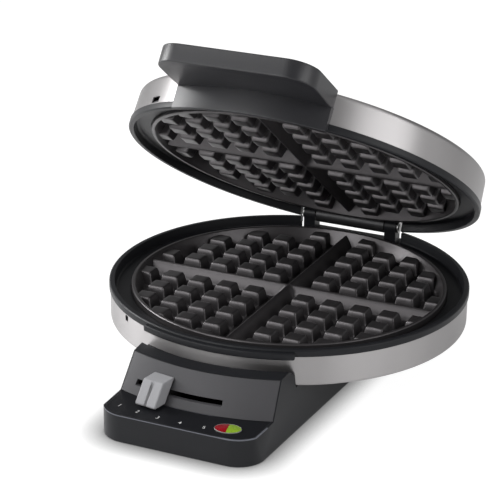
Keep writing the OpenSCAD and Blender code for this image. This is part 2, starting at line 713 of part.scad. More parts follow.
module arm_screw() color("gray") lever_pose()
    translate([0, shaft_r + 2 * thread_fit, arm_z + arm_t + 0.4]) rotate([-90, 0, 0])
        cylinder(r = 0.8 - thread_fit, h = 4.4);
module slider_knob() color([0.72, 0.73, 0.75]) lever_pose() difference() {
    low = panel_face_r(knob_low_z) + knob_gap;
    high = panel_face_r(knob_low_z + knob_h) + knob_gap;
    rotate([90, 0, -90]) linear_extrude(knob_w, center = true)
        polygon(rounded([[low, knob_low_z], [low + knob_d, knob_low_z],
                         [high + knob_d, knob_low_z + knob_h], [high, knob_low_z + knob_h]],
                        [0.4, 1, 1, 0.4], 6));
    slab(stem_w + 2 * thread_fit, -stem_reach - thread_fit, 0,
         lever_z - stem_t / 2 - thread_fit, lever_z + stem_t / 2 + thread_fit);
    rotate([90, 0, -90]) linear_extrude(0.8, center = true)
        polygon([[low + knob_d - 0.7, knob_low_z - 1], [low + knob_d + 5, knob_low_z - 1],
                 [high + knob_d + 5, knob_low_z + knob_h + 1],
                 [high + knob_d - 0.7, knob_low_z + knob_h + 1]]);
}

// -------------------------------------------------- base
// Room that the pan's parts need above the base, with a seating gap
module pan_room() {
    spin([[0, deck_z], [dish_r + seat, deck_z],
          [dish_edge_r + seat, rim_z - band_low_end - seat], [box_back_r, rim_z - band_low_end - seat],
          [box_back_r, far], [0, far]]);
}
// Side view of the control box: panel face, ledge above it and the neck inside the pan
box_profile = [[neck_in_r, shelf_z - 2], [panel_r, shelf_z - 2], [panel_r, shelf_z],
               [panel_face_r(panel_top), panel_top], [panel_face_r(panel_top), panel_top + 0.4],
               [ledge_r, panel_top + ledge_rise], [box_back_r, neck_top_z],
               [neck_in_r, neck_top_z]];
ledge_under = 1.8;
box_hollow = [[neck_in_r + base_wall, 0], [panel_r + 5, 0], [panel_r + 5, panel_top - 1.6],
              [ledge_r, panel_top + ledge_rise - ledge_under],
              [box_back_r, neck_top_z - ledge_under],
              [neck_in_r + base_wall, neck_top_z - ledge_under]];
function panel_wall(t) = t * sqrt(1 + panel_slope * panel_slope);
module front_side() slab(2 * far, -far, 0, -1, far);
module panel_shape(gap) intersection() {
    spin([[panel_r - panel_wall(panel_t + gap), shelf_z - gap], [panel_r + gap, shelf_z - gap],
          [panel_r + gap, shelf_z], [panel_face_r(panel_top + gap) + gap, panel_top + gap],
          [panel_face_r(panel_top) - panel_wall(panel_t + gap), panel_top + gap]]);
    base_block(panel_edge - gap, 0, far);
    front_side();
}
module screw_posts() for (s = [-1, 1], y = [front_post_y, rear_post_y])
    translate([s * (base_half(y) - post_in), y, 0]) children();

// Walls up to the shelf, with the shelf's deck
module pedestal() difference() {
    base_block(0, 0, shelf_z);
    base_block(base_wall, -1, shelf_under_z);
    intersection() {
        base_block(base_wall, shelf_under_z - 1, far);
        disc(panel_r - panel_wall(panel_t), 0, far);
    }
    difference() {
        base_block(legend_inset, legend_z, far);
        disc(panel_r, 0, far);
    }
}
// Walls and deck that carry the pan
module pan_support() {
    difference() {
        intersection() {
            base_block(0, shelf_z - eps, column_top_z);
            disc(box_back_r, 0, far);
        }
        base_block(base_wall, 0, far);
        pan_room();
    }
    intersection() {
        base_block(base_wall - eps, deck_z - base_wall, deck_z);
        disc(dish_r, 0, far);
    }
    // rear deck, a step lower than the deck under the pan
    intersection() {
        base_block(base_wall - eps, shelf_under_z, deck_z);
        slab(2 * far, 0, far, 0, far);
        spin([[dish_r - base_wall, shelf_under_z], [far, shelf_under_z], [far, shelf_z - eps],
              [dish_r, shelf_z - eps], [dish_r, deck_z], [dish_r - base_wall, deck_z]]);
    }
}
module control_box() difference() {
    intersection() {
        spin(box_profile);
        union() {
            difference() {
                base_block(0, 0, far);
                disc(box_back_r, 0, far);
            }
            slab(2 * (neck_half - seat), -far, 0, 0, far);
        }
        front_side();
    }
    intersection() {
        spin(box_hollow);
        slab(2 * (neck_half - seat - rim_wall), -far, 0, 0, far);
    }
}
module column_hollow()
    slab(2 * (column_half - base_wall), column_in_r + base_wall, base_back - base_wall,
         0, column_top_z - base_wall);
module hinge_column() {
    difference() {
        slab(2 * column_half, relief_y, base_back - eps, deck_z - base_wall, column_top_z);
        disc(column_in_r, deck_z, far);
    }
    for (s = [-1, 1]) translate([s * (ear_in + ear_w / 2), 0, 0]) {
        slab(ear_w, hinge_y - knuckle_r + 0.5, hinge_y + knuckle_r - 0.5,
             column_top_z - eps, hinge_z);
        translate([-ear_w / 2, hinge_y, hinge_z]) rotate([0, 90, 0])
            cylinder(r = knuckle_r, h = ear_w);
    }
}
module hinge_cover_block(y1) slab(2 * (hinge_half - cover_side), base_back - 1.6, y1,
                                  deck_z + 1, column_top_z - 3);
module base_housing() color([0.12, 0.12, 0.13]) difference() {
    union() {
        pedestal();
        pan_support();
        control_box();
        hinge_column();
        intersection() {
            screw_posts() disc(post_r, cover_top_z, deck_z - 1);
            union() {
                disc(panel_r - panel_wall(panel_t), 0, deck_z);
                base_block(base_wall - eps, 0, shelf_under_z + eps);
            }
        }
    }
    column_hollow();
    panel_shape(panel_gap);
    disc(collar_r + seat, 0, far);
    at_bosses() disc(screw_r + screw_fit, 0, far);
    for (s = [-1, 1]) translate([s * lead_x, lead_y, 0]) disc(2 * lead_r, 0, far);
    screw_posts() disc(screw_r + thread_fit, 0, cover_top_z + post_bite);
    translate([-far, hinge_y, hinge_z]) rotate([0, 90, 0])
        cylinder(r = pin_r + thread_fit, h = 2 * far);
    hinge_cover_block(far);
    translate([0, 0, grommet_z]) rotate([-90, 0, 0])
        cylinder(r = grommet_r + thread_fit, h = far);
    lens_hole();
}
module control_panel() color([0.34, 0.34, 0.36]) difference() {
    panel_shape(0);
    rotate([0, 0, -90 + lever_light - lever_margin])
        rotate_extrude(angle = lever_dark - lever_light + 2 * lever_margin)
            translate([box_back_r, lever_z - lever_slot_h / 2]) square([panel_r, lever_slot_h]);
}
// Angle that the slot runs past the lever's middle at each end
lever_margin = atan((stem_w / 2 + 0.6) / panel_face_r(lever_z));
module lens_place() translate([lens_x, lens_y, 0]) rotate([0, 0, lens_angle]) children();
module lens_hole() lens_place() linear_extrude(far)
    polygon(ellipse(lens_a + lens_gap, lens_b + lens_gap));
module legend_plate() color([0.07, 0.07, 0.08]) difference() {
    base_block(legend_inset + panel_gap, legend_z, shelf_z);
    disc(panel_r + legend_gap, 0, far);
    lens_hole();
}
module lamp_bezel() color("white") lens_place() difference() {
    translate([0, 0, shelf_z]) linear_extrude(lens_rise)
        polygon(ellipse(lens_a + lens_gap + bezel_w, lens_b + lens_gap + bezel_w));
    linear_extrude(far) polygon(ellipse(lens_a + lens_gap, lens_b + lens_gap));
}
module half_lens(side) lens_place() intersection() {
    translate([0, 0, shelf_under_z - 0.6]) linear_extrude(shelf_z + lens_rise - shelf_under_z + 0.6)
        polygon(ellipse(lens_a, lens_b));
    translate([side > 0 ? 0.02 : -far - 0.02, -far / 2, 0]) cube([far, far, far]);
}
module lens_red() color([0.65, 0.05, 0.05]) half_lens(-1);
module lens_green() color([0.55, 0.68, 0.1]) half_lens(1);
module at_lamps(side) lens_place() translate([side * lens_a / 2, 0, 0]) children();
module lamp_holder() color("white") lens_place() difference() {
    slab(2 * lens_a + 6, -lens_b, lens_b, cover_top_z, lamp_z);
    for (s = [-1, 1]) translate([s * lens_a / 2, 0, lamp_z]) rotate([90, 0, 0])
        cylinder(r = lamp_r + 0.1, h = far, center = true);
}
module lamp(side) at_lamps(side) translate([0, -lens_b, lamp_z]) rotate([-90, 0, 0])
    cylinder(r = lamp_r, h = 2 * lens_b);
module lamp_red() color([0.9, 0.35, 0.2]) lamp(-1);
module lamp_green() color([0.5, 0.9, 0.4]) lamp(1);
module bottom_cover() color([0.14, 0.14, 0.15]) difference() {
    base_block(base_wall + 0.15, foot_t, cover_top_z);
    screw_posts() disc(screw_r + screw_fit, 0, far);
}
module bottom_screws() color("gray") screw_posts() translate([0, 0, foot_t]) mirror([0, 0, 1])
    screw(cover_t + post_bite - 1);
module rubber_feet() color([0.05, 0.05, 0.05]) for (s = [-1, 1]) {
    translate([s * (base_half_front - base_corner), base_corner - base_front, 0])
        disc(foot_r, 0, foot_t);
    translate([s * (base_half_back - base_wall - foot_r - 3), base_back - foot_r - 6, 0])
        disc(foot_r, 0, foot_t);
}

// -------------------------------------------------- wiring and cord inlet
module terminal_block() color("ivory") difference() {
    slab(block_w, block_y, block_y + block_d, cover_top_z, block_top_z);
    for (s = [-1, 1]) translate([s * lead_x, block_y + block_d / 2, 0])
        disc(screw_r + thread_fit, cover_top_z + 2, far);
}
module terminal_screws() color("gold") for (s = [-1, 1])
    translate([s * lead_x, block_y + block_d / 2, block_top_z]) screw(4);
module base_leads() color("firebrick") for (s = [-1, 1]) {
    lead([[s * lead_x, block_y, cover_top_z + 4], [s * lead_x, lead_y, cover_top_z + 4],
          [s * lead_x, lead_y, rim_z - pan_floor_h + pan_t + 2],
          by_terminal(s, lead_turn_r, rim_z - pan_floor_h + pan_t + 2),
          by_terminal(s, lead_turn_r, rim_z - heater_h),
          by_terminal(s, terminal_r - 0.1, rim_z - heater_h)]);
}
module cord_grommet() color([0.06, 0.06, 0.06]) translate([0, base_back, grommet_z])
    rotate([90, 0, 0]) difference() {
        union() {
            disc(grommet_r, -1.4, base_wall + 1.4);
            disc(grommet_r + 1.5, -1.4, 0);
            disc(grommet_r + 1.5, base_wall, base_wall + 1.4);
        }
        disc(cord_hole_r, -5, 10);
    }

// -------------------------------------------------- all pieces
lid_cover();
lid_rim();
lid_handle();
handle_screws();
upper_plate();
upper_heater();
upper_heater_clips();
upper_heat_shield();
upper_plate_screws();
upper_thermal_fuse();
lid_leads();
hinge_bracket();
bracket_screws();
hinge_pin();
pin_clips();
hinge_cover();
lower_rim();
lower_band();
lower_pan();
lower_plate();
lower_heater();
lower_heater_clips();
lower_heat_shield();
plate_pillars();
lower_plate_screws();
thermostat();
thermostat_screws();
thermal_fuse();
thermostat_shaft();
control_arm();
arm_screw();
slider_knob();
base_housing();
control_panel();
legend_plate();
lamp_bezel();
lens_red();
lens_green();
lamp_holder();
lamp_red();
lamp_green();
bottom_cover();
bottom_screws();
rubber_feet();
terminal_block();
terminal_screws();
base_leads();
cord_grommet();
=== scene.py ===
"""Round waffle maker with a tilting lid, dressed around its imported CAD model.

Frame: +Z up, the front with the browning lever faces -Y, and the origin is on the
pans' upright axis at table level. Sizes in the classes below are millimetres; a
mesh gets its metres when it is made.
"""

import json
import logging
import math
from collections.abc import Sequence
from dataclasses import dataclass
from enum import Enum
from typing import Any

import bmesh
import bpy
import numpy as np
from mathutils import Matrix, Vector

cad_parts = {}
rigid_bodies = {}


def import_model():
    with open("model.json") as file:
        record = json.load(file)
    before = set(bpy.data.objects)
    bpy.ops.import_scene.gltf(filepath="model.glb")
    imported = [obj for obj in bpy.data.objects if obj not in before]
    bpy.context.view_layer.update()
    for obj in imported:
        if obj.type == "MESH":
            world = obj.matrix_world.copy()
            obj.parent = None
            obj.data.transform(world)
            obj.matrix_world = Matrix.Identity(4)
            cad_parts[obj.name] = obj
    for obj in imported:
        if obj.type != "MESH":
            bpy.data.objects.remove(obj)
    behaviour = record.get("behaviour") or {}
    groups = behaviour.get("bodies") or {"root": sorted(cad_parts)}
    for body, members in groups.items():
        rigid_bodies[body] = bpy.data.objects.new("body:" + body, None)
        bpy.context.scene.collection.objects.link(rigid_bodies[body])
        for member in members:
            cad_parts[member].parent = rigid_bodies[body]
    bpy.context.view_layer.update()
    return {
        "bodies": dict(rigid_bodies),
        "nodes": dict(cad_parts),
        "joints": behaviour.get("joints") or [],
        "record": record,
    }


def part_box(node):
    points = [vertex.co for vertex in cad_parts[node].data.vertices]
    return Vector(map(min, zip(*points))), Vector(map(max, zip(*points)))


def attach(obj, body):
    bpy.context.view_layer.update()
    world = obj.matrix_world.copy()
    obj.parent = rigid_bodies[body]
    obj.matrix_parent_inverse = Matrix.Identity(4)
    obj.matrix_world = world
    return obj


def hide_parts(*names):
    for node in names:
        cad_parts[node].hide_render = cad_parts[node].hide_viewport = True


MM = 0.001
WELD = 2e-6  # points nearer than this, in metres, become one
SHELF_Z = 15.0  # height of the shelf in front of the panel
Array = np.ndarray
Triple = tuple[float, float, float]
log = logging.getLogger("waffle_maker")


# ---------------------------------------------------------------- shader expressions
class Socket:
    """A shader output that arithmetic can be written with; each operator adds a Math node."""

    def __init__(self, graph: "Graph", output: bpy.types.NodeSocket) -> None:
        """Wraps one output.

        Args:
            graph: The graph that the output belongs to.
            output: The output itself.
        """
        self.graph = graph
        self.output = output

    def _math(self, operation: str, first: "Value", second: "Value" = 0.0) -> "Socket":
        """A Math node of that operation on two values."""
        return self.graph.node("ShaderNodeMath", {"operation": operation}, [first, second])

    def __add__(self, other: "Value") -> "Socket":
        """Sum."""
        return self._math("ADD", self, other)

    __radd__ = __add__

    def __sub__(self, other: "Value") -> "Socket":
        """Difference."""
        return self._math("SUBTRACT", self, other)

    def __rsub__(self, other: "Value") -> "Socket":
        """Difference with the socket second."""
        return self._math("SUBTRACT", other, self)

    def __mul__(self, other: "Value") -> "Socket":
        """Product."""
        return self._math("MULTIPLY", self, other)

    __rmul__ = __mul__

    def __pow__(self, other: "Value") -> "Socket":
        """Power."""
        return self._math("POWER", self, other)

    def sin(self) -> "Socket":
        """Sine of an angle in radians."""
        return self._math("SINE", self)

    def cos(self) -> "Socket":
        """Cosine of an angle in radians."""
        return self._math("COSINE", self)

    def step(self, low: float, high: float) -> "Socket":
        """Smooth step, 3t^2 - 2t^3 of the share t of the way from low to high.

        Args:
            low: The value where it starts from 0.
            high: The value where it reaches 1.

        Returns:
            The step, 0 to 1.
        """
        return self.graph.node(
            "ShaderNodeMapRange", {"interpolation_type": "SMOOTHSTEP"},
            {"Value": self, "From Min": low, "From Max": high})


Value = Socket | float


class Graph:
    """The node tree of one material or of the world."""

    def __init__(self, owner: bpy.types.Material | bpy.types.World) -> None:
        """Empties the owner's node tree.

        Args:
            owner: The material or world that the nodes belong to.
        """
        self.owner = owner
        owner.use_nodes = True
        self.tree = owner.node_tree
        self.tree.nodes.clear()

    @classmethod
    def material(cls, name: str) -> "Graph":
        """The graph of a new material of that name."""
        return cls(bpy.data.materials.new(name))

    def node(self, kind: str, settings: dict[str, Any],
             inputs: dict[str | int, Any] | Sequence[Any] = (), output: int | str = 0) -> Socket:
        """Adds a node, sets it up and connects it.

        Args:
            kind: The node's type.
            settings: Its properties, set before its sockets.
            inputs: Values or sockets, by name or in order.
            output: The output to return.

        Returns:
            The chosen output.
        """
        made = self.tree.nodes.new(kind)
        for name, value in settings.items():
            setattr(made, name, value)
        pairs = inputs.items() if isinstance(inputs, dict) else enumerate(inputs)
        for key, value in pairs:
            if isinstance(value, Socket):
                self.tree.links.new(value.output, made.inputs[key])
            else:
                made.inputs[key].default_value = value
        return Socket(self, made.outputs[output])

    def place(self) -> Socket:
        """Object coordinates in millimetres."""
        spot = self.node("ShaderNodeTexCoord", {}, output="Object")
        return self.node("ShaderNodeVectorMath", {"operation": "SCALE"},
                         {0: spot, "Scale": 1 / MM})

    def stretched(self, spot: Socket, scale: Triple) -> Socket:
        """A place with each axis scaled by its own factor."""
        return self.node("ShaderNodeVectorMath", {"operation": "MULTIPLY"}, [spot, scale])

    def part(self, vector: Socket, axis: str) -> Socket:
        """One component of a vector: X, Y or Z."""
        return self.node("ShaderNodeSeparateXYZ", {}, [vector], output=axis)

    def along(self, vector: Socket, way: Triple) -> Socket:
        """A vector's dot product with a fixed way."""
        return self.node("ShaderNodeVectorMath", {"operation": "DOT_PRODUCT"}, [vector, way],
                         output="Value")

    def on_cylinder(self, angle: Socket, reach: float, height: Value) -> Socket:
        """A place on an upright cylinder, where noise meets itself after a whole turn."""
        return self.node("ShaderNodeCombineXYZ", {},
                         [angle.cos() * reach, angle.sin() * reach, height])

    def noise(self, spot: Socket, pitch: float, detail: float = 2.0,
              roughness: float = 0.5) -> Socket:
        """Smooth noise from 0 to 1.

        Args:
            spot: Where it is read.
            pitch: The size of its blotches, in the units of spot.
            detail: Octaves added to it.
            roughness: How strongly they are added.

        Returns:
            The noise value.
        """
        return self.node("ShaderNodeTexNoise", {},
                         {"Vector": spot, "Scale": 1 / pitch, "Detail": detail,
                          "Roughness": roughness})

    def cells(self, spot: Socket, pitch: float) -> Socket:
        """Distance to the nearest of scattered points, in pitches."""
        return self.node("ShaderNodeTexVoronoi", {}, {"Vector": spot, "Scale": 1 / pitch},
                         output="Distance")

    def mix(self, share: Value, first: Any, second: Any) -> Socket:
        """A colour between two colours; the node's colour sockets go by number."""
        return self.node("ShaderNodeMix", {"data_type": "RGBA"},
                         {0: share, 6: _rgba(first), 7: _rgba(second)}, output=2)

    def bump(self, height: Socket, depth: float) -> Socket:
        """A normal from heights of 0 to 1, where 1 stands for depth in millimetres."""
        return self.node("ShaderNodeBump", {},
                         {"Strength": 1.0, "Distance": depth * MM, "Height": height},
                         output="Normal")

    def finish(self, sockets: dict[str, Any]) -> bpy.types.Material:
        """Ends the graph with a Principled surface.

        Args:
            sockets: The surface's socket values, by name.

        Returns:
            The material.
        """
        shader = self.node("ShaderNodeBsdfPrincipled", {},
                           {key: _rgba(value) for key, value in sockets.items()})
        self.close(shader)
        return self.owner

    def close(self, shader: Socket, kind: str = "ShaderNodeOutputMaterial") -> None:
        """Connects a shader to the tree's output node."""
        end = self.tree.nodes.new(kind)
        self.tree.links.new(shader.output, end.inputs["Surface"])


def _rgba(value: Any) -> Any:
    """A colour of three numbers with its alpha; anything else as it is."""
    return (*value, 1.0) if isinstance(value, tuple) and len(value) == 3 else value


def tint(tone: Triple, gain: float) -> Triple:
    """A colour made lighter or darker."""
    return tuple(min(1.0, part * gain) for part in tone)


# ---------------------------------------------------------------- finishes
@dataclass(frozen=True)
class Finish:
    """A surface finish: its colour, roughness, finest detail's pitch and depth in mm."""

    tone: Triple
    rough: float
    grain: float
    depth: float

    def material(self, name: str) -> bpy.types.Material:
        """The finish as a material of that name."""
        graph = Graph.material(name)
        return graph.finish(self.look(graph, graph.place()))

    def look(self, graph: Graph, spot: Socket) -> dict[str, Any]:
        """Works out the surface.

        Args:
            graph: The material's graph.
            spot: The place on the piece, in millimetres.

        Returns:
            The surface's socket values, by name.
        """
        raise NotImplementedError

    def shades(self, graph: Graph, share: Value, dark: float, light: float) -> Socket:
        """The finish's colour between two gains of it."""
        return graph.mix(share, tint(self.tone, dark), tint(self.tone, light))

    def uneven(self, *parts: tuple[Socket, float]) -> Socket:
        """The roughness, varied by patterns about their middles.

        Args:
            parts: Patterns from 0 to 1, each with how far it changes the roughness.

        Returns:
            The varied roughness.
        """
        total = self.rough
        for pattern, share in parts:
            total = (pattern - 0.5) * share + total
        return total


@dataclass(frozen=True)
class Moulding(Finish):
    """Moulded plastic with a fine spark-eroded grain and faint handling marks.

    Given a front limit in y, a lowest and a highest z, the bevel between them gets a
    painted highlight: its colour is made paler to stand for light caught on that edge.
    """

    coat: float = 0.0
    scuffs: float = 0.06
    shine: float = 0.25
    rubbed: Triple | None = None

    def look(self, graph: Graph, spot: Socket) -> dict[str, Any]:
        """Grain of small cells over soft clouds, which also vary the gloss.

        Args:
            graph: The material's graph.
            spot: The place on the piece, in millimetres.

        Returns:
            The surface's socket values, by name.
        """
        cloud = graph.noise(spot, pitch=38.0, detail=3.0)
        grain = graph.noise(spot, pitch=self.grain, roughness=0.6)
        pits = graph.cells(spot, pitch=self.grain * 1.6)
        scuff = graph.noise(graph.stretched(spot, (0.25, 1.0, 0.6)), pitch=2.4, detail=4.0,
                            roughness=0.7).step(0.6, 0.78)
        tone = self.shades(graph, cloud * 0.7 + grain * 0.3, dark=0.8, light=1.22)
        # painted highlight: the bevel along the shelf's front edge is made paler as if it caught
        # the light
        if self.rubbed is not None:
            front, low, high = self.rubbed
            y, z = (graph.part(spot, axis) for axis in "YZ")
            edge = ((1.0 - y.step(front, front + 1.0)) * z.step(low, low + 0.1)
                    * (1.0 - z.step(high - 0.02, high)))
            tone = graph.mix(edge * (0.7 + cloud * 0.3), tone, tint(self.tone, gain=12.0))
        return {
            "Base Color": graph.mix(scuff * self.scuffs, tone, tint(self.tone, gain=3.0)),
            "Roughness": self.uneven((cloud, 0.09), (grain, 0.08)) + scuff * self.scuffs,
            "Normal": graph.bump(grain * 0.6 + pits * 0.4, self.depth),
            "Coat Weight": self.coat, "Coat Roughness": 0.12, "IOR": 1.5,
            "Specular IOR Level": self.shine}


@dataclass(frozen=True)
class Brushed(Finish):
    """Brushed steel, its lines running round the part; reads the UV map (turns, mm)."""

    coarse: float = 0.22
    streak: float = 26.0
    contrast: float = 0.16
    # sectors and sweep set the size and strength of the painted sheen: wide lighter and darker
    # bands round the part
    sectors: float = 2.2
    sweep: float = 0.9
    radius: float = 98.0

    def look(self, graph: Graph, spot: Socket) -> dict[str, Any]:
        """Lines are noise on a cylinder that is long round the part and short across it.

        Two finenesses of line, a soft cloud and a few wide bands of painted sheen, as noise
        on a small cylinder, are added into the shade; the bands make the steel lighter and
        darker round the part in place of its brushed highlight. The sheen is stretched
        across the lines.

        Args:
            graph: The material's graph.
            spot: The place on the piece, in millimetres.

        Returns:
            The surface's socket values, by name.
        """
        uv = graph.node("ShaderNodeUVMap", {"uv_map": "UVMap"})
        angle = graph.part(uv, "X") * (2 * math.pi)
        across = graph.part(uv, "Y")
        reach = self.radius / self.streak
        fine, coarse = (graph.noise(graph.on_cylinder(angle, reach, across * (1 / pitch)),
                                    pitch=1.0, detail=4.0, roughness=0.62)
                        for pitch in (self.grain, self.coarse))
        # painted sheen: wide lighter and darker bands round the part that stand in for the brushed
        # highlight
        painted_sheen = graph.noise(graph.on_cylinder(angle, self.sectors, 0.0), pitch=1.0,
                             roughness=0.4)
        cloud = graph.noise(spot, pitch=30.0, detail=3.0)
        line = fine * 0.6 + coarse * 0.4
        shade = ((line - 0.5) * self.contrast + (cloud - 0.5) * 0.06
                 + (painted_sheen - 0.5) * self.sweep + 0.5)
        return {
            "Base Color": self.shades(graph, shade, dark=0.72, light=1.28),
            "Metallic": 1.0,
            "Roughness": self.uneven((line, 0.16), (cloud, 0.06)),
            "Anisotropic": 0.8, "Anisotropic Rotation": 0.25,
            "Normal": graph.bump(line, self.depth)}


@dataclass(frozen=True)
class NonStick(Finish):
    """Sprayed non-stick coat on a cast plate: orange peel, flecks and a satin sheen."""

    def look(self, graph: Graph, spot: Socket) -> dict[str, Any]:
        """Fine peel and wider unevenness, with sparse brighter flecks in the coat.

        Args:
            graph: The material's graph.
            spot: The place on the piece, in millimetres.

        Returns:
            The surface's socket values, by name.
        """
        peel = graph.noise(spot, pitch=self.grain, detail=3.0, roughness=0.6)
        cast = graph.noise(spot, pitch=5.0, detail=3.0)
        cloud = graph.noise(spot, pitch=30.0)
        fleck = (1.0 - graph.cells(spot, pitch=0.55)).step(0.88, 0.97)
        tone = self.shades(graph, cloud * 0.6 + cast * 0.4, dark=0.78, light=1.25)
        return {
            "Base Color": graph.mix(fleck * 0.18, tone, (0.25, 0.25, 0.26)),
            "Metallic": 0.7,
            "Roughness": self.uneven((cast, 0.1), (peel, 0.08)),
            "Normal": graph.bump(peel * 0.35 + cast * 0.65, self.depth),
            "Coat Weight": 0.06, "Coat Roughness": 0.3}


@dataclass(frozen=True)
class Plated(Finish):
    """Plated or bare metal with a faint crystal pattern and fine drawing marks."""

    metallic: float = 1.0

    def look(self, graph: Graph, spot: Socket) -> dict[str, Any]:
        """Crystals from scattered cells over thin drawn lines.

        Args:
            graph: The material's graph.
            spot: The place on the piece, in millimetres.

        Returns:
            The surface's socket values, by name.
        """
        cloud = graph.noise(spot, pitch=6.0, detail=3.0)
        crystal = graph.cells(spot, pitch=1.8)
        drawn = graph.noise(graph.stretched(spot, (0.08, 1.0, 1.0)), pitch=self.grain,
                            detail=3.0, roughness=0.6)
        shade = cloud * 0.45 + crystal * 0.25 + drawn * 0.3
        return {
            "Base Color": self.shades(graph, shade, dark=0.7, light=1.25),
            "Metallic": self.metallic,
            "Roughness": self.uneven((cloud, 0.14), (drawn, 0.1)),
            "Normal": graph.bump(drawn * 0.6 + crystal * 0.4, self.depth)}


@dataclass(frozen=True)
class Tinted(Finish):
    """Tinted lens over fine prisms, with a faint glow of its own."""

    glow: float

    def look(self, graph: Graph, spot: Socket) -> dict[str, Any]:
        """Prisms are scattered cells, each paler away from its middle, under a glossy face.

        Args:
            graph: The material's graph.
            spot: The place on the piece, in millimetres.

        Returns:
            The surface's socket values, by name.
        """
        cloud = graph.noise(spot, pitch=3.0)
        prism = graph.cells(spot, pitch=self.grain)
        tone = self.shades(graph, cloud * 0.5 + prism * 0.6, dark=0.55, light=1.3)
        return {
            "Base Color": tone, "Roughness": self.uneven((cloud, 0.06)),
            "Coat Weight": 0.6, "Coat Roughness": 0.03, "IOR": 1.49,
            "Emission Color": tone, "Emission Strength": self.glow,
            "Normal": graph.bump(prism, self.depth)}


@dataclass(frozen=True)
class Fired(Finish):
    """Fired ceramic and pale heat-resistant moulding, with specks."""

    def look(self, graph: Graph, spot: Socket) -> dict[str, Any]:
        """Specks from scattered cells in a soft mottle.

        Args:
            graph: The material's graph.
            spot: The place on the piece, in millimetres.

        Returns:
            The surface's socket values, by name.
        """
        mottle = graph.noise(spot, pitch=2.5, detail=4.0, roughness=0.6)
        speck = (1.0 - graph.cells(spot, pitch=0.9)).step(0.86, 0.95)
        grain = graph.noise(spot, pitch=self.grain)
        tone = self.shades(graph, mottle, dark=0.86, light=1.08)
        return {
            "Base Color": graph.mix(speck * 0.25, tone, tint(self.tone, gain=0.35)),
            "Roughness": self.uneven((mottle, 0.12)),
            "Normal": graph.bump(grain, self.depth)}


@dataclass(frozen=True)
class Sleeve(Finish):
    """Braided sleeve or soft rubber, woven from two crossing sets of strands."""

    def look(self, graph: Graph, spot: Socket) -> dict[str, Any]:
        """Two slanted sets of waves, multiplied, make the braid.

        Args:
            graph: The material's graph.
            spot: The place on the piece, in millimetres.

        Returns:
            The surface's socket values, by name.
        """
        turn = 2 * math.pi / (3 * self.grain)
        right, left = ((graph.along(spot, (1.0, slant, 0.6 * slant)) * turn).sin() * 0.5 + 0.5
                       for slant in (1.0, -1.0))
        dust = graph.noise(spot, pitch=3.0, detail=4.0, roughness=0.6)
        height = right * left * 0.5 + dust * 0.5
        return {
            "Base Color": self.shades(graph, height, dark=0.7, light=1.35),
            "Roughness": self.uneven((dust, 0.15)),
            "Normal": graph.bump(height, self.depth)}


class Slot(Enum):
    """The record's material slots and the printed figures, each with its finish.

    The numbers are the colour, the roughness, and the finest detail's pitch and depth.
    """

    # black_plastic carries a painted highlight on the bevel along the shelf's front edge
    black_plastic = Moulding((0.0140, 0.0145, 0.0168), 0.38, 0.35, 0.006, shine=0.20,
                             rubbed=(-124.0, SHELF_Z - 0.6, SHELF_Z))
    handle_plastic = Moulding((0.022, 0.022, 0.025), 0.38, 0.60, 0.020, shine=0.42)
    legend_black = Moulding((0.010, 0.0104, 0.0125), 0.40, 0.30, 0.003, shine=0.12)
    brushed_steel = Brushed((0.40, 0.388, 0.390), 0.40, 0.08, 0.004)
    panel_grey = Moulding((0.068, 0.067, 0.072), 0.44, 0.55, 0.025, shine=0.22)
    nonstick = NonStick((0.080, 0.075, 0.078), 0.34, 0.32, 0.012)
    knob_silver = Moulding((0.35, 0.35, 0.365), 0.46, 0.25, 0.004, shine=0.10)
    lens_red = Tinted((0.28, 0.006, 0.012), 0.14, 0.7, 0.004, glow=0.06)
    lens_green = Tinted((0.26, 0.42, 0.03), 0.14, 0.7, 0.004, glow=0.06)
    lamp_glass = Tinted((0.85, 0.45, 0.30), 0.08, 0.7, 0.002, glow=0.1)
    bezel_white = Moulding((0.28, 0.28, 0.27), 0.25, 0.3, 0.003, coat=0.2)
    plated_steel = Plated((0.36, 0.36, 0.355), 0.38, 0.25, 0.004)
    dark_steel = Plated((0.05, 0.05, 0.052), 0.42, 0.3, 0.01, metallic=0.6)
    heater_sheath = Plated((0.22, 0.20, 0.18), 0.45, 0.3, 0.01)
    shield_aluminium = Plated((0.75, 0.75, 0.76), 0.35, 0.4, 0.01)
    brass = Plated((0.72, 0.50, 0.20), 0.28, 0.25, 0.004)
    ceramic = Fired((0.72, 0.70, 0.64), 0.5, 0.3, 0.01)
    red_sleeve = Sleeve((0.36, 0.03, 0.025), 0.6, 0.35, 0.03)
    rubber = Sleeve((0.018, 0.018, 0.018), 0.72, 0.5, 0.01)
    figures_white = Fired((0.80, 0.80, 0.80), 0.5, 0.2, 0.002)


class Finishes:
    """Makes each finish's material once."""

    def __init__(self) -> None:
        """Starts with no materials."""
        self.made: dict[Slot, bpy.types.Material] = {}

    def dress(self, piece: bpy.types.Object, slot: Slot) -> None:
        """Gives a piece the slot's material.

        Args:
            piece: The piece.
            slot: Its finish.
        """
        if slot not in self.made:
            self.made[slot] = slot.value.material("finish." + slot.name)
        piece.data.materials.clear()
        piece.data.materials.append(self.made[slot])


# ---------------------------------------------------------------- surfaces
def soft_min(first: Array, second: Array | float, blend: float) -> Array:
    """The lesser of two heights, rounded where they cross.

    The rounding takes off (blend - gap)^2 / (4 blend) where the gap between the two is
    less than blend.

    Args:
        first: One surface's heights.
        second: The other's.
        blend: The widest gap that is rounded.

    Returns:
        The rounded lesser heights.
    """
    near = np.maximum(blend - np.abs(first - second), 0.0)
    return np.minimum(first, second) - near * near / (4 * blend)


def soft_max(first: Array, second: Array | float, blend: float) -> Array:
    """The greater of two heights, filled where they cross."""
    return -soft_min(-first, -second, blend)


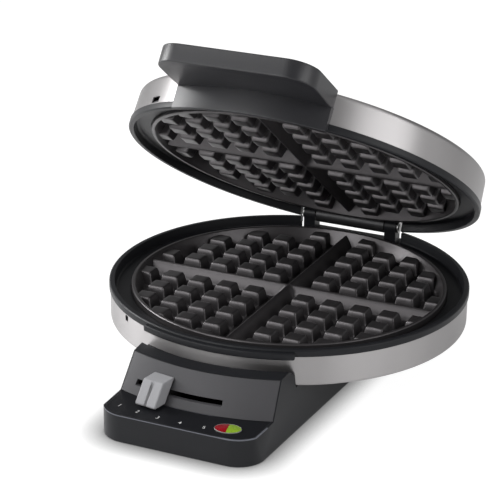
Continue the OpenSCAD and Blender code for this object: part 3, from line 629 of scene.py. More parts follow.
def round_corners(points: Array, radii: Array | float, steps: int = 5) -> Array:
    """A closed outline with an arc in place of each corner.

    An arc's centre lies on the corner's bisector at radius / sin(half the corner), and its
    angle runs evenly from one tangent point to the other.

    Args:
        points: Corners in order, (n, 2).
        radii: One radius for each corner, or one for all.
        steps: Steps along each arc.

    Returns:
        The rounded outline, (n * (steps + 1), 2).
    """
    radius = np.broadcast_to(np.asarray(radii, float), (len(points),))[:, None]
    back, ahead = (np.roll(points, shift, axis=0) - points for shift in (1, -1))
    back /= np.linalg.norm(back, axis=1, keepdims=True)
    ahead /= np.linalg.norm(ahead, axis=1, keepdims=True)
    half = np.arccos(np.clip((back * ahead).sum(axis=1), -1, 1))[:, None] / 2
    middle = back + ahead
    middle /= np.maximum(np.linalg.norm(middle, axis=1, keepdims=True), 1e-9)
    centre = points + middle * radius / np.sin(half)
    ends = [points + side * radius / np.tan(half) - centre for side in (back, ahead)]
    start, stop = (np.arctan2(end[:, 1], end[:, 0])[:, None] for end in ends)
    sweep = (stop - start + math.pi) % (2 * math.pi) - math.pi
    angle = start + sweep * np.linspace(0, 1, steps + 1)
    arc = np.stack([np.cos(angle), np.sin(angle)], axis=-1) * radius[:, :, None]
    return (centre[:, None, :] + arc).reshape(-1, 2)


def ring_angles(marks: Sequence[float], step: float, low: float = -180.0,
                high: float = 180.0) -> Array:
    """Angles from low to high, evenly spaced between marks that must be among them.

    Args:
        marks: Angles in degrees that a line must follow.
        step: The widest spacing.
        low: The first angle.
        high: The last angle.

    Returns:
        The angles in radians, ascending.
    """
    stops = sorted({low, high, *(mark for mark in marks if low < mark < high)})
    parts = [np.linspace(a, b, max(2, math.ceil((b - a) / step) + 1))[:-1]
             for a, b in zip(stops, stops[1:])]
    return np.radians(np.concatenate([*parts, [high]]))


def turned(radius: Array, height: Array, angle: Array) -> Array:
    """Points at a radius, a height and an angle from the front, towards +X.

    x = r sin a, y = -r cos a; the three arrays are broadcast together.

    Args:
        radius: Distances from the upright axis.
        height: Heights.
        angle: Angles in radians.

    Returns:
        The points, (..., 3).
    """
    radius, height, angle = np.broadcast_arrays(radius, height, angle)
    return np.stack([radius * np.sin(angle), -radius * np.cos(angle), height], axis=-1)


def path_length(points: Array) -> Array:
    """Distance along a line of points from its first."""
    steps = np.linalg.norm(np.diff(points, axis=0), axis=1)
    return np.concatenate([[0.0], np.cumsum(steps)])


def inner_face(line: Array, sheet: float) -> Array:
    """A section moved in along its normal, which is its way turned by a right angle.

    Args:
        line: Radius and height along the section, (m, 2).
        sheet: The distance.

    Returns:
        The moved section.
    """
    along = np.gradient(line, axis=0)
    normal = np.stack([along[:, 1], -along[:, 0]], axis=1)
    normal /= np.linalg.norm(normal, axis=1, keepdims=True)
    return line - normal * sheet


class Shells:
    """Collects closed shells on grids, in millimetres, and makes one mesh of them."""

    def __init__(self) -> None:
        """Starts empty."""
        self.points: list[Array] = []
        self.faces: list[list[int]] = []
        self.uvs: list[Array] = []
        self.count = 0

    def _keep(self, points: Array) -> int:
        """Stores points.

        Args:
            points: Points in an array of any shape, (..., 3).

        Returns:
            The number of the first.
        """
        first = self.count
        self.points.append(points.reshape(-1, 3))
        self.count += points.size // 3
        return first

    def _quads(self, quads: Array, uv: Array) -> None:
        """Stores quads (n, 4) with their corners' UVs (n, 4, 2)."""
        self.faces.extend(quads.tolist())
        self.uvs.append(uv.reshape(-1, 2))

    def grid(self, points: Array, close_u: bool = False, close_v: bool = False,
             u: Array | None = None, v: Array | None = None) -> None:
        """A sheet on a grid, or a closed skin where it is closed both ways or at poles.

        Args:
            points: (n, m, 3) points.
            close_u: The last row, points[-1], joins the first.
            close_v: The last column joins the first.
            u: UV values along the first axis, one more than n where it is closed.
            v: UV values along the second axis, one more than m where it is closed.
        """
        n, m = points.shape[:2]
        first = self._keep(points)
        rows, cols = n if close_u else n - 1, m if close_v else m - 1
        u = np.arange(rows + 1.0) if u is None else u
        v = np.arange(cols + 1.0) if v is None else v
        i, j = np.meshgrid(np.arange(rows), np.arange(cols), indexing="ij")
        iu = np.stack([i, i + 1, i + 1, i], axis=-1).reshape(-1, 4)
        iv = np.stack([j, j, j + 1, j + 1], axis=-1).reshape(-1, 4)
        self._quads(first + (iu % n) * m + iv % m, np.stack([u[iu], v[iv]], axis=-1))

    def bar(self, points: Array, u: Array | None = None, v: Array | None = None) -> None:
        """A closed section carried along an open path, with a flat face on both ends.

        Args:
            points: (n, m, 3) points, one section of m points at each of n places.
            u: UV values along the path.
            v: UV values round the section, one more than m.
        """
        self.grid(points, close_v=True, u=u, v=v)
        for end in (points[0], points[-1]):
            first = self._keep(end)
            self.faces.append(list(range(first, first + len(end))))
            self.uvs.append(end[:, :2])

    def plate(self, outer: Array, inner: Array, keep: Array, closed: bool = False,
              u: Array | None = None, v: Array | None = None) -> None:
        """A plate between two grids, with a wall wherever a kept cell meets a gap.

        Args:
            outer: (n, m, 3) points of one face.
            inner: (n, m, 3) points of the other.
            keep: Which cells are kept, (n - 1 or n, m - 1).
            closed: The last row joins the first.
            u: UV values along the first axis.
            v: UV values along the second axis.
        """
        n, m = outer.shape[:2]
        first = self._keep(np.concatenate([outer.reshape(-1, 3), inner.reshape(-1, 3)]))
        rows = n if closed else n - 1
        u = np.arange(rows + 1.0) if u is None else u
        v = np.arange(m * 1.0) if v is None else v
        i, j = np.meshgrid(np.arange(rows), np.arange(m - 1), indexing="ij")
        corner_u = np.stack([i, i + 1, i + 1, i], axis=-1)
        corner_v = np.stack([j, j, j + 1, j + 1], axis=-1)
        over = [np.roll(keep, 1, axis=0), np.roll(keep, -1, axis=0)]
        if not closed:
            over[0][0], over[1][-1] = False, False
        pad = np.pad(keep, ((0, 0), (1, 1)))
        open_edges = (keep & ~pad[:, :-2], keep & ~over[1], keep & ~pad[:, 2:], keep & ~over[0])
        front_u, front_v = corner_u[keep], corner_v[keep]
        sides = [(front_u, front_v, np.zeros(4, int)),
                 (front_u[:, ::-1], front_v[:, ::-1], np.ones(4, int))]
        for edge, cells in enumerate(open_edges):
            pair = [edge, (edge + 1) % 4]
            edge_u, edge_v = (part[cells][:, pair + pair[::-1]] for part in (corner_u, corner_v))
            sides.append((edge_u[:, [1, 0, 3, 2]], edge_v[:, [1, 0, 3, 2]], np.array([0, 0, 1, 1])))
        for at_u, at_v, side in sides:
            index = first + side * n * m + (at_u % n) * m + at_v
            self._quads(index, np.stack([u[at_u], v[at_v]], axis=-1))

    def build(self, name: str, place: Matrix | None = None,
              sharp: float = 35.0) -> bpy.types.Object:
        """Makes the object: doubles merged, poles closed, faces turned outwards.

        Args:
            name: The piece's name.
            place: Where the shells go, as a matrix in millimetres.
            sharp: Edges bent by more than this many degrees stay crisp.

        Returns:
            The object, at the origin.
        """
        points = np.concatenate(self.points)
        if place is not None:
            matrix = np.array(place)
            points = points @ matrix[:3, :3].T + matrix[:3, 3]
        mesh = bpy.data.meshes.new(name)
        mesh.from_pydata(points * MM, [], self.faces)
        layer = mesh.uv_layers.new(name="UVMap")
        layer.data.foreach_set("uv", np.concatenate(self.uvs).astype(np.float32).ravel())
        return finish_mesh(name, mesh, sharp)


def finish_mesh(name: str, mesh: bpy.types.Mesh, sharp: float,
                flat: float = 0.0) -> bpy.types.Object:
    """Cleans a mesh and makes it an object at the origin.

    Args:
        name: The piece's name.
        mesh: The mesh to clean.
        sharp: Edges bent by more than this many degrees stay crisp.
        flat: Faces that lie within this many degrees of each other are joined.

    Returns:
        The linked object.
    """
    shape = bmesh.new()
    shape.from_mesh(mesh)
    bmesh.ops.remove_doubles(shape, verts=shape.verts, dist=WELD)
    bmesh.ops.dissolve_degenerate(shape, dist=WELD, edges=shape.edges)
    if flat:
        bmesh.ops.dissolve_limit(shape, angle_limit=math.radians(flat), verts=shape.verts,
                                 edges=shape.edges, delimit={"NORMAL"})
    bmesh.ops.delete(shape, geom=[v for v in shape.verts if not v.link_faces], context="VERTS")
    bmesh.ops.recalc_face_normals(shape, faces=shape.faces)
    shape.to_mesh(mesh)
    shape.free()
    mesh.shade_smooth()
    mesh.set_sharp_from_angle(angle=math.radians(sharp))
    piece = bpy.data.objects.new(name, mesh)
    bpy.context.scene.collection.objects.link(piece)
    return piece


def soften(piece: bpy.types.Object, width: float, steps: int = 2, angle: float = 40.0,
           crisp: Sequence[Vector] = ()) -> None:
    """Rounds a piece's bent edges with a bevel.

    Args:
        piece: The piece.
        width: The bevel's width in millimetres.
        steps: Its segments.
        angle: Edges bent by more than this many degrees are rounded.
        crisp: Lowest and highest corner of a box whose edges stay crisp; then only edges
            that face away from the piece's middle are rounded.
    """
    shape = bmesh.new()
    shape.from_mesh(piece.data)
    weight = shape.edges.layers.float.new("bevel_weight_edge")
    middle = sum((vert.co for vert in shape.verts), Vector()) / len(shape.verts)
    for edge in shape.edges:
        if edge.calc_face_angle(0.0) < math.radians(angle):
            continue
        spot = (edge.verts[0].co + edge.verts[1].co) / 2
        away = (spot - middle) * Vector((1, 1, 0))
        boxed = crisp and all(a <= b <= c for a, b, c in zip(crisp[0], spot, crisp[1]))
        inward = crisp and any(face.normal.dot(away) < 0 for face in edge.link_faces)
        edge[weight] = 0.0 if boxed or inward else 1.0
    shape.to_mesh(piece.data)
    shape.free()
    bevel = piece.modifiers.new("edges", "BEVEL")
    bevel.width = width * MM
    bevel.segments = steps
    bevel.limit_method = "WEIGHT"
    bevel.use_clamp_overlap = False
    bevel.harden_normals = True
    bevel.miter_outer = "MITER_ARC"


# ---------------------------------------------------------------- shared layout
@dataclass
class Layout:
    """Where the two pans lie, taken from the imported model."""

    pan_r: float
    rim_z: float
    hinge: Vector
    opened: float
    lid_gap: float = 0.4
    hinge_half: float = 31.8  # half the opening for the hinge in the rims and the steel
    brim_half: float = 33.0  # and in the plates' brims

    @classmethod
    def from_frame(cls, frame: dict[str, Any]) -> "Layout":
        """Reads the lower rim's box and the lid's joint.


        Returns:
            The layout.
        """
        joint = next(j for j in frame["joints"] if j["child"] == "lid")
        low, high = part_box("lower_rim")
        return cls((high.x - low.x) / 2 / MM, high.z / MM, Vector(joint["pos_m"]) / MM,
                   math.radians(-joint["range_deg"][0]))

    def lower(self) -> Matrix:
        """Places a shape whose +Z is the depth below the lower rim's face."""
        return Matrix.Translation((0, 0, self.rim_z)) @ Matrix.Diagonal((1, 1, -1, 1))

    def upper(self) -> Matrix:
        """Places a shape whose +Z is the height above the lid's rim face, tilted open."""
        return (Matrix.Translation(self.hinge) @ Matrix.Rotation(-self.opened, 4, "X")
                @ Matrix.Translation(-self.hinge)
                @ Matrix.Translation((0, 0, self.rim_z + self.lid_gap)))


class Builder:
    """Rides, slots and dresses each new piece, and reports it."""

    def __init__(self, frame: dict[str, Any]) -> None:
        """Keeps the frame.
        """
        self.frame = frame
        self.finishes = Finishes()
        self.bodies = {node: body for body, nodes in
                       frame["record"]["behaviour"]["bodies"].items() for node in nodes}

    def add(self, piece: bpy.types.Object, slot: Slot, *nodes: str, body: str = "",
            named: bool = True) -> None:
        """Finishes a piece and ties it to its body.

        Args:
            piece: The piece.
            slot: Its finish.
            nodes: CAD nodes that it replaces.
            body: Its body, where it replaces none.
            named: Whether the slot is one of the record's; not used.
        """
        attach(piece, body or self.bodies[nodes[0]])
        if nodes:
            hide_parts(*nodes)
        self.finishes.dress(piece, slot)
        log.info("%s: %d faces, finish %s", piece.name, len(piece.data.polygons), slot.name)

    def copy(self, node: str, name: str, slot: Slot, edge: float, steps: int = 2,
             crisp: Sequence[Vector] = ()) -> None:
        """A merged copy of a CAD node with its crisp edges rounded, in its place.

        Args:
            node: The CAD node.
            name: The piece's name.
            slot: Its finish.
            edge: The rounding's width in millimetres.
            steps: Its segments.
            crisp: A box whose edges stay crisp.
        """
        mesh = self.frame["nodes"][node].data.copy()
        if "custom_normal" in mesh.attributes:
            mesh.attributes.remove(mesh.attributes["custom_normal"])
        piece = finish_mesh(name, mesh, sharp=30.0, flat=0.4)
        soften(piece, edge, steps, crisp=crisp)
        self.add(piece, slot, node)

    def dress_rest(self) -> None:
        """Gives every CAD node that stays its finish."""
        for row in self.frame["record"]["subparts"]:
            node = self.frame["nodes"][row["node"]]
            self.finishes.dress(node, Slot[row["material_slot"]])
            log.info("%s kept from the frame, finish %s", row["node"], row["material_slot"])


# ---------------------------------------------------------------- pans and lid
@dataclass
class Rim:
    """Black moulded rim of one pan, with its gutter; +Z runs into the pan."""

    name: str
    node: str
    layout: Layout
    gutter: float
    side: float = 3.8
    land: float = 3.0
    edge: float = 0.6
    inner_r: float = 87.1
    spigot_r: float = 97.3
    wall: float = 1.6
    steps: int = 181

    def shells(self) -> Shells:
        """The rim's section carried round from one side of the hinge to the other.

        Each point of the section starts at asin(half opening / radius), so that both ends
        are flat.

        Returns:
            The rim's closed shell.
        """
        r, floor = self.layout.pan_r, self.gutter
        corners = np.array([
            (r - self.edge, 0), (r, self.edge), (r, self.side), (self.spigot_r, self.side),
            (self.spigot_r, floor + self.wall), (self.inner_r, floor + self.wall),
            (self.inner_r, floor), (r - self.land - self.edge, floor), (r - self.land, 0)])
        radii = np.array([0.5, 0.5, 0.25, 0.1, 0.2, 0.2, 0.3, 1.3, 0.45])
        section = round_corners(corners, radii)
        end = math.pi - np.arcsin(self.layout.hinge_half / section[:, 0])
        share = np.linspace(-1, 1, self.steps)[:, None]
        shells = Shells()
        shells.bar(turned(section[:, 0], section[:, 1], share * end),
                   np.linspace(0, 1, self.steps), path_length(np.vstack([section, section[:1]])))
        return shells


@dataclass
class FrontLip:
    """Proud lip on the front of the lower rim, under the handle's skirt."""

    layout: Layout
    half: float = 43.2
    proud: float = 2.2
    sunk: float = 2.0
    top: float = 1.2
    tall: float = 3.6
    corner: float = 1.3
    reach_share: float = 0.6

    def add_to(self, shells: Shells) -> None:
        """A rounded bar on an arc, its height and reach drawn in at both ends.

        Within one corner radius of an end, the height shrinks by 1 - sqrt(1 - share^2) of
        the corner from above and below, and the reach by reach_share of that.

        Args:
            shells: Where the bar goes.
        """
        outer_r, inner_r = self.layout.pan_r + self.proud, self.layout.pan_r - self.sunk
        x = self.half * np.sin(np.linspace(-math.pi / 2, math.pi / 2, 97))
        into = np.clip((np.abs(x) - self.half + self.corner) / self.corner, 0, 1)
        drawn = self.corner * (1 - np.sqrt(1 - into**2))
        box = np.array([(0, 0), (1, 0), (1, 1), (0, 1)]) * (outer_r - inner_r, self.tall)
        section = round_corners(box, [0.1, 0.7, 0.5, 0.1])
        reach = np.clip(section[:, 0] + inner_r, None,
                        (outer_r - drawn * self.reach_share)[:, None])
        height = np.clip(section[:, 1][None, :], drawn[:, None], (self.tall - drawn)[:, None])
        shells.bar(turned(reach, height + self.top, np.arcsin(x / outer_r)[:, None]))


@dataclass
class WafflePlate:
    """Cast cooking plate with studs, two dividing ridges, a sloped wall and a lip."""

    name: str
    node: str
    layout: Layout
    flange_h: float
    well_r: float = 86.8
    floor_r: float = 81.5
    well_h: float = 11.3
    lip_h: float = 2.3
    lip_w: float = 2.2
    plate_t: float = 2.2
    flange_w: float = 6.0
    pitch: float = 16.5
    base_w: float = 12.5
    crest_w: float = 9.2
    near: float = 8.5
    crest_h: float = 7.0
    ridge_half: float = 5.75
    ridge_crest: float = 0.6
    ridge_h: float = 6.9
    sunk: float = 0.5
    count: int = 5
    keep_r: float = 76.0
    corner_round: float = 3.2
    crest_round: float = 2.2
    ridge_round: float = 1.1
    foot_round: float = 1.0
    foot_lines: Sequence[float] = (-0.45, -0.1, 0.2, 0.6)
    crest_lines: Sequence[float] = (-0.45, -0.1, 0.25, 0.75)
    ridge_lines: Sequence[float] = (0, 0.35, 0.7, 1.1, 1.8, 3.4, 4.8, 5.3, 5.8, 6.3)
    widest: float = 2.2
    spacing: float = 1.7

    def lines(self) -> Array:
        """Grid lines along one axis, close together wherever a side bends.

        The lines at a stud's foot and crest and on the ridge are given as distances from
        them; a gap over the widest is filled at the usual spacing.

        Returns:
            The lines' places, ascending and symmetric about 0.
        """
        draft = (self.base_w - self.crest_w) / 2
        edge = np.array([*self.foot_lines, *(draft + line for line in self.crest_lines)])
        start = self.near + self.pitch * np.arange(self.count)[:, None]
        studs = np.concatenate([start + edge, start + self.base_w - edge], axis=1).ravel()
        half = np.unique(np.round(np.concatenate([self.ridge_lines, studs]), 3))
        half = half[half < self.well_r - 0.4]
        gaps = np.diff(half)
        extra = [np.linspace(half[i], half[i + 1], math.ceil(gaps[i] / self.spacing) + 1)[1:-1]
                 for i in np.nonzero(gaps > self.widest)[0]]
        half = np.unique(np.concatenate([half, *extra, [self.well_r - 0.3]]))
        return np.concatenate([-half[:0:-1], half])

    def heights(self, x: Array, y: Array) -> Array:
        """Height above the well's floor.

        A stud is the lesser of two bars' side slopes and its crest; a ridge is a roof with a
        narrow crest; the greater of all and the floor shows, each crossing rounded.

        Args:
            x: Places across the plate.
            y: Places along it.

        Returns:
            The height at each place.
        """
        draft = (self.base_w - self.crest_w) / 2
        slope = (self.crest_h + self.sunk) / draft

        def bar(t: Array) -> tuple[Array, Array]:
            """Finds the bar that a place is on.

            Args:
                t: Places along one axis.

            Returns:
                The height of the bar's nearer side, and the bar's number.
            """
            number = np.clip(np.floor((np.abs(t) - self.near) / self.pitch), 0, self.count - 1)
            offset = np.abs(t) - self.near - number * self.pitch
            return np.minimum(offset, self.base_w - offset) * slope - self.sunk, number

        rise_x, number_x = bar(x)
        rise_y, number_y = bar(y)
        near = np.hypot(self.near + self.pitch * number_x, self.near + self.pitch * number_y)
        stud = soft_min(soft_min(rise_x, rise_y, self.corner_round), self.crest_h,
                        self.crest_round)
        stud = np.where(near < self.keep_r, stud, -9.0)  # far under the floor: no stud
        grade = (self.ridge_h + self.sunk) / (self.ridge_half - self.ridge_crest)
        roof = [(self.ridge_half - np.abs(t)) * grade - self.sunk for t in (x, y)]
        ridge = soft_min(soft_max(roof[0], roof[1], self.foot_round), self.ridge_h,
                         self.ridge_round)
        return np.maximum(soft_max(soft_max(stud, ridge, 0.2), 0.0, self.foot_round), 0.0)

    def shells(self) -> Shells:
        """The studded floor as one plate, and the wall, lip and flange as rings round it.

        Returns:
            The three closed shells.
        """
        line = self.lines()
        x, y = np.meshgrid(line, line, indexing="ij")
        top = np.stack([x, y, self.well_h - self.heights(x, y)], axis=-1)
        back = np.stack([x, y, np.full_like(x, self.well_h + self.plate_t)], axis=-1)
        far = np.hypot(x, y)
        corner = np.maximum.reduce([far[:-1, :-1], far[1:, :-1], far[:-1, 1:], far[1:, 1:]])
        shells = Shells()
        shells.plate(top, back, corner < self.well_r - 0.25)
        r, h = self.well_r, self.lip_h
        # from the floor's edge up the wall, over the lip, down its outside and back below
        wall = np.array([
            (self.floor_r - 1.6, self.well_h + 0.02), (self.floor_r, self.well_h),
            (r - self.lip_w, h + 0.4), (r - self.lip_w + 0.5, h), (r - 0.5, h), (r, h + 0.5),
            (r, self.flange_h + 0.3), (r - 0.4, self.flange_h + self.plate_t),
            (self.floor_r + 1.2, self.well_h + self.plate_t),
            (self.floor_r - 1.6, self.well_h + self.plate_t)])
        section = round_corners(wall, [0.01, 1.1, 0.35, 0.45, 0.4, 0.4, 0.2, 0.3, 0.5, 0.2])
        angle = np.linspace(0, 2 * math.pi, 241)[:-1, None]
        shells.grid(turned(section[:, 0], section[:, 1], angle), close_u=True, close_v=True)
        low, high = self.flange_h, self.flange_h + self.plate_t
        brim = round_corners(np.array([(r - 0.8, low), (r + self.flange_w, low),
                                       (r + self.flange_w, high), (r - 0.8, high)]), 0.3)
        end = math.pi - np.arcsin(self.layout.brim_half / brim[:, 0])
        shells.bar(turned(brim[:, 0], brim[:, 1], np.linspace(-1, 1, 121)[:, None] * end))
        return shells


@dataclass
class SteelSheet:
    """Sheet steel turned about the pans' axis, its openings left out of the grid."""

    layout: Layout
    foot: float = 3.8
    sheet: float = 0.7
    step: float = 0.7
    slot_angle: float = -37.5
    slot_low: float = 4.7

    def openings(self, radius: float, slot_w: float) -> tuple[float, float, list[float]]:
        """Angles of the latch slot and the hinge's opening, in degrees.

        Args:
            radius: The sheet's outer radius.
            slot_w: The slot's width.

        Returns:
            Half the slot, half the hinge's opening, and the angles of their four sides.
        """
        slot = math.degrees(slot_w / 2 / radius)
        gap = math.degrees(math.asin(self.layout.hinge_half / radius))
        return slot, gap, [self.slot_angle - slot, self.slot_angle + slot, gap - 180, 180 - gap]

    def revolve(self, line: Array, angle: Array, keep: Array, turns: Array, last_r: float,
                closed: bool = False) -> Shells:
        """The section turned through the angles, between its outer and its inner face.

        Args:
            line: Radius and height along the section, from its foot, (m, 2).
            angle: Angles, (n, 1), or (n, m) where the grid's lines lean.
            keep: Which cells are kept.
            turns: UV values round the axis.
            last_r: Radius of the inner face's last point.
            closed: Whether the sheet goes all the way round.

        Returns:
            The sheet's closed shell.
        """
        inside = inner_face(line, self.sheet)
        inside[0, 1], inside[-1, 0] = self.foot, last_r
        shells = Shells()
        shells.plate(turned(line[:, 0], line[:, 1], angle),
                     turned(inside[:, 0], inside[:, 1], angle), keep, closed, turns,
                     path_length(line))
        return shells


@dataclass
class LidCover(SteelSheet):
    """Domed steel cover with a rounded shoulder, a latch slot and room for the hinge."""

    taper: float = 0.6
    side_end: float = 21.0
    shoulder: float = 3.0
    rise: float = 8.0
    slot_w: float = 7.4
    slot_h: float = 3.4
    relief_h: float = 12.0
    plain_h: float = 15.0  # a line of the grid between the hinge's relief and the shoulder

    def shells(self) -> Shells:
        """The section turned about the axis: side, shoulder arc, then a parabola to the top.

        The dome falls from the top by rise * (r / shoulder radius)^2.

        Returns:
            The cover's closed shell.
        """
        band_r = self.layout.pan_r - self.step
        edge_r = band_r - self.taper
        arc_r = edge_r - self.shoulder
        join = math.atan2(2 * self.rise, arc_r)
        side_h = np.array([self.foot, self.slot_low, self.slot_low + self.slot_h,
                           self.relief_h, self.plain_h])
        side_r = band_r - self.taper * (side_h - self.foot) / (self.side_end - self.shoulder
                                                               - self.foot)
        turn = np.linspace(0, math.pi / 2 - join, 10)
        arc = np.stack([arc_r + self.shoulder * np.cos(turn),
                        self.side_end - self.shoulder + self.shoulder * np.sin(turn)], axis=1)
        r = arc[-1, 0] * (1 - np.linspace(0, 1, 33)[1:])
        dome = np.stack([r, arc[-1, 1] + self.rise * (arc[-1, 0] ** 2 - r**2) / arc_r**2], axis=1)
        line = np.concatenate([np.stack([side_r, side_h], axis=1), arc, dome])
        slot, gap, marks = self.openings(band_r, self.slot_w)
        angle = ring_angles(marks, step=2.0)[:-1]
        middle = np.degrees(angle + np.roll(angle, -1)) / 2
        middle[-1] = 179.5  # the last cell, which ends where the first begins
        keep = np.ones((len(angle), len(line) - 1), bool)
        keep[np.abs(middle - self.slot_angle) < slot, 1] = False
        keep[np.abs(middle) > 180 - gap, :3] = False
        turns = np.append(angle, math.pi) / (2 * math.pi)
        return self.revolve(line, angle[:, None], keep, turns, 0.0, closed=True)


@dataclass
class LowerBand(SteelSheet):
    """Steel band of the lower pan, with its inward lip, latch notch and neck notch."""

    tall: float = 16.3
    lip: float = 6.0
    edge: float = 1.2
    notch_w: float = 3.2
    neck_h: float = 13.0
    neck_half: float = 41.4
    neck_lean: float = 1.1
    neck_corner: float = 1.6
    plain_h: Sequence[float] = (10.5, 15.0, 17.0)  # further lines of the grid

    def shells(self) -> Shells:
        """The band's section turned about the axis, with its openings left out of the grid.

        The lines beside the neck's opening lean outwards by neck_lean on their way to the
        band's far edge and follow a quarter circle at the last corner.

        Returns:
            The band's closed shell.
        """
        r = self.layout.pan_r - self.step
        end = self.foot + self.tall
        turn = np.linspace(0, math.pi / 2, 6)
        heights = np.sort([self.foot, self.slot_low, self.slot_low + self.notch_w,
                           self.neck_h, *self.plain_h, end - self.edge - 0.5])
        side = np.stack([np.full_like(heights, r), heights], axis=1)
        arc = np.stack([r - self.edge + self.edge * np.cos(turn),
                        end - self.edge + self.edge * np.sin(turn)], axis=1)
        lip = np.stack([np.linspace(r - self.edge - 1, r - self.lip, 3), np.full(3, end)], axis=1)
        line = np.concatenate([side, arc, lip])
        notch, gap, marks = self.openings(r, self.notch_w)
        neck = math.degrees(math.asin(self.neck_half / r))
        angle = ring_angles([*marks, -neck, neck], step=2.0, low=gap - 180, high=180 - gap)
        middle = np.degrees(angle[1:] + angle[:-1]) / 2
        keep = np.ones((len(angle) - 1, len(line) - 1), bool)
        keep[np.abs(middle - self.slot_angle) < notch, 1] = False
        keep[np.abs(middle) < neck, np.searchsorted(heights, self.neck_h):] = False
        drop = np.clip((line[:, 1] - self.neck_h) / (end - self.neck_h), 0, 1)
        corner = np.clip(1 - (end - line[:, 1]) / self.neck_corner, 0, 1)
        lean = self.neck_lean * drop + self.neck_corner * (1 - np.sqrt(1 - corner**2))
        beside = np.isclose(np.abs(np.degrees(angle)), neck)
        moved = angle[:, None] + np.where(beside, np.sign(angle), 0)[:, None] * lean / r
        return self.revolve(line, moved, keep, angle / (2 * math.pi), line[-1, 0])


@dataclass
class LidHandle:
    """Moulded handle with a skirt that reaches down over both rims at the front."""

    layout: Layout
    half: float = 42.9
    reach: float = 130.3
    thick: float = 9.9
    top: float = 21.3
    corner: float = 14.0
    back_r: float = 97.3
    top_rise: float = 1.0
    back_y: float = -84.0
    fillet: float = 0.7
    skirt_proud: float = 2.2
    skirt_drop: float = 1.2
    skirt_in: float = 0.2
    skirt_root: float = 3.0
    skirt_step: float = 4.0
    spine_in: float = 18.0
    spine_share: float = 0.72

    def outline(self) -> tuple[Array, Array]:
        """The handle in plan, from above, and its outward normals.

        Front and sides are straight with rounded corners, and the back follows the cover's
        shoulder.

        Returns:
            The outline's points and their normals, (n, 2) each.
        """
        side_y = -math.sqrt(self.back_r**2 - (self.half - 2) ** 2)
        x = np.linspace(self.half - 0.4, -self.half + 0.4, 33)
        back = np.stack([x, -np.sqrt(self.back_r**2 - x**2)], axis=1)
        arc, side, run = 19, 12, 16  # points on each corner, side and the front
        straight = np.linspace(-self.reach + self.corner + 1, side_y - 1.0, side)
        front = round_corners(np.array([
            (-self.half, side_y), (-self.half, -self.reach), (self.half, -self.reach),
            (self.half, side_y)]), [0.01, self.corner, self.corner, 0.01], steps=arc - 1)
        left, right = front[arc:2 * arc], front[2 * arc:3 * arc]
        across = np.linspace(left[-1, 0] + 1, right[0, 0] - 1, run)
        line = np.concatenate([
            np.stack([np.full(side, -self.half), straight[::-1]], axis=1), left,
            np.stack([across, np.full(run, -self.reach)], axis=1), right,
            np.stack([np.full(side, self.half), straight], axis=1), back])
        tangent = np.roll(line, -1, axis=0) - np.roll(line, 1, axis=0)
        normal = np.stack([tangent[:, 1], -tangent[:, 0]], axis=1)
        return line, normal / np.linalg.norm(normal, axis=1, keepdims=True)

    def shells(self) -> Shells:
        """Rings of the outline from the under face to the top, and the skirt.

        Along a fillet, a ring is drawn in by 1 - sin and lies off its face by 1 - cos of
        the fillet's radius; each face closes towards a line in its middle.

        Returns:
            The handle's closed shells.
        """
        line, normal = self.outline()
        turn = np.linspace(0, math.pi / 2, 7)
        inset = self.fillet * (1 - np.sin(turn))
        rise = self.fillet * (1 - np.cos(turn))
        rings = []
        for top, shrink, lift in ((False, inset, rise), (True, inset[::-1], -rise[::-1])):
            for drawn, step in zip(shrink, lift):
                flat = line - normal * drawn
                level = self.level(top, flat[:, 1]) + step
                rings.append(np.column_stack([flat, level]))
        rings = self._close(rings, line, normal)
        shells = Shells()
        shells.grid(np.stack(rings, axis=1), close_u=True)
        self._skirt(shells)
        return shells

    def level(self, top: bool, y: Array) -> Array:
        """Height of a face; the top one rises evenly towards the back.

        Args:
            top: Whether it is the top face.
            y: Places from front to back.

        Returns:
            The height at each place.
        """
        if not top:
            return np.full_like(y, self.top - self.thick)
        return self.top + self.top_rise * (y + self.reach) / (self.back_y + self.reach)

    def _close(self, rings: list[Array], line: Array, normal: Array) -> list[Array]:
        """Adds rings that close the two faces towards a line in their middle.

        Args:
            rings: The rings so far, from the under face's edge to the top's.
            line: The outline.
            normal: Its outward normals.

        Returns:
            All rings in order.
        """
        spine = np.stack([line[:, 0] * self.spine_share,
                          np.full(len(line), -self.reach + self.spine_in)], axis=1)
        flat = line - normal * self.fillet
        for top in (False, True):
            for pull in (0.35, 0.7, 1.0):
                inner = flat * (1 - pull) + spine * pull
                ring = np.column_stack([inner, self.level(top, inner[:, 1])])
                rings.insert(len(rings) if top else 0, ring)
        return rings

    def _skirt(self, shells: Shells) -> None:
        """A rounded section on an arc, from below the rim face up into the handle.

        Args:
            shells: Where the skirt goes.
        """
        inner_r = self.layout.pan_r + self.skirt_in
        outer_r = self.layout.pan_r + self.skirt_proud
        root_r = inner_r - self.skirt_root
        low, high = -self.skirt_drop, self.top - self.thick + 1.0
        section = round_corners(np.array([
            (inner_r, low), (outer_r, low), (outer_r, high), (root_r, high),
            (root_r, self.skirt_step + 0.2), (inner_r, self.skirt_step)]),
            [0.3, 0.7, 0.1, 0.1, 0.1, 0.2])
        end = np.arcsin(self.half / section[:, 0])
        shells.bar(turned(section[:, 0], section[:, 1], np.linspace(-1, 1, 73)[:, None] * end))


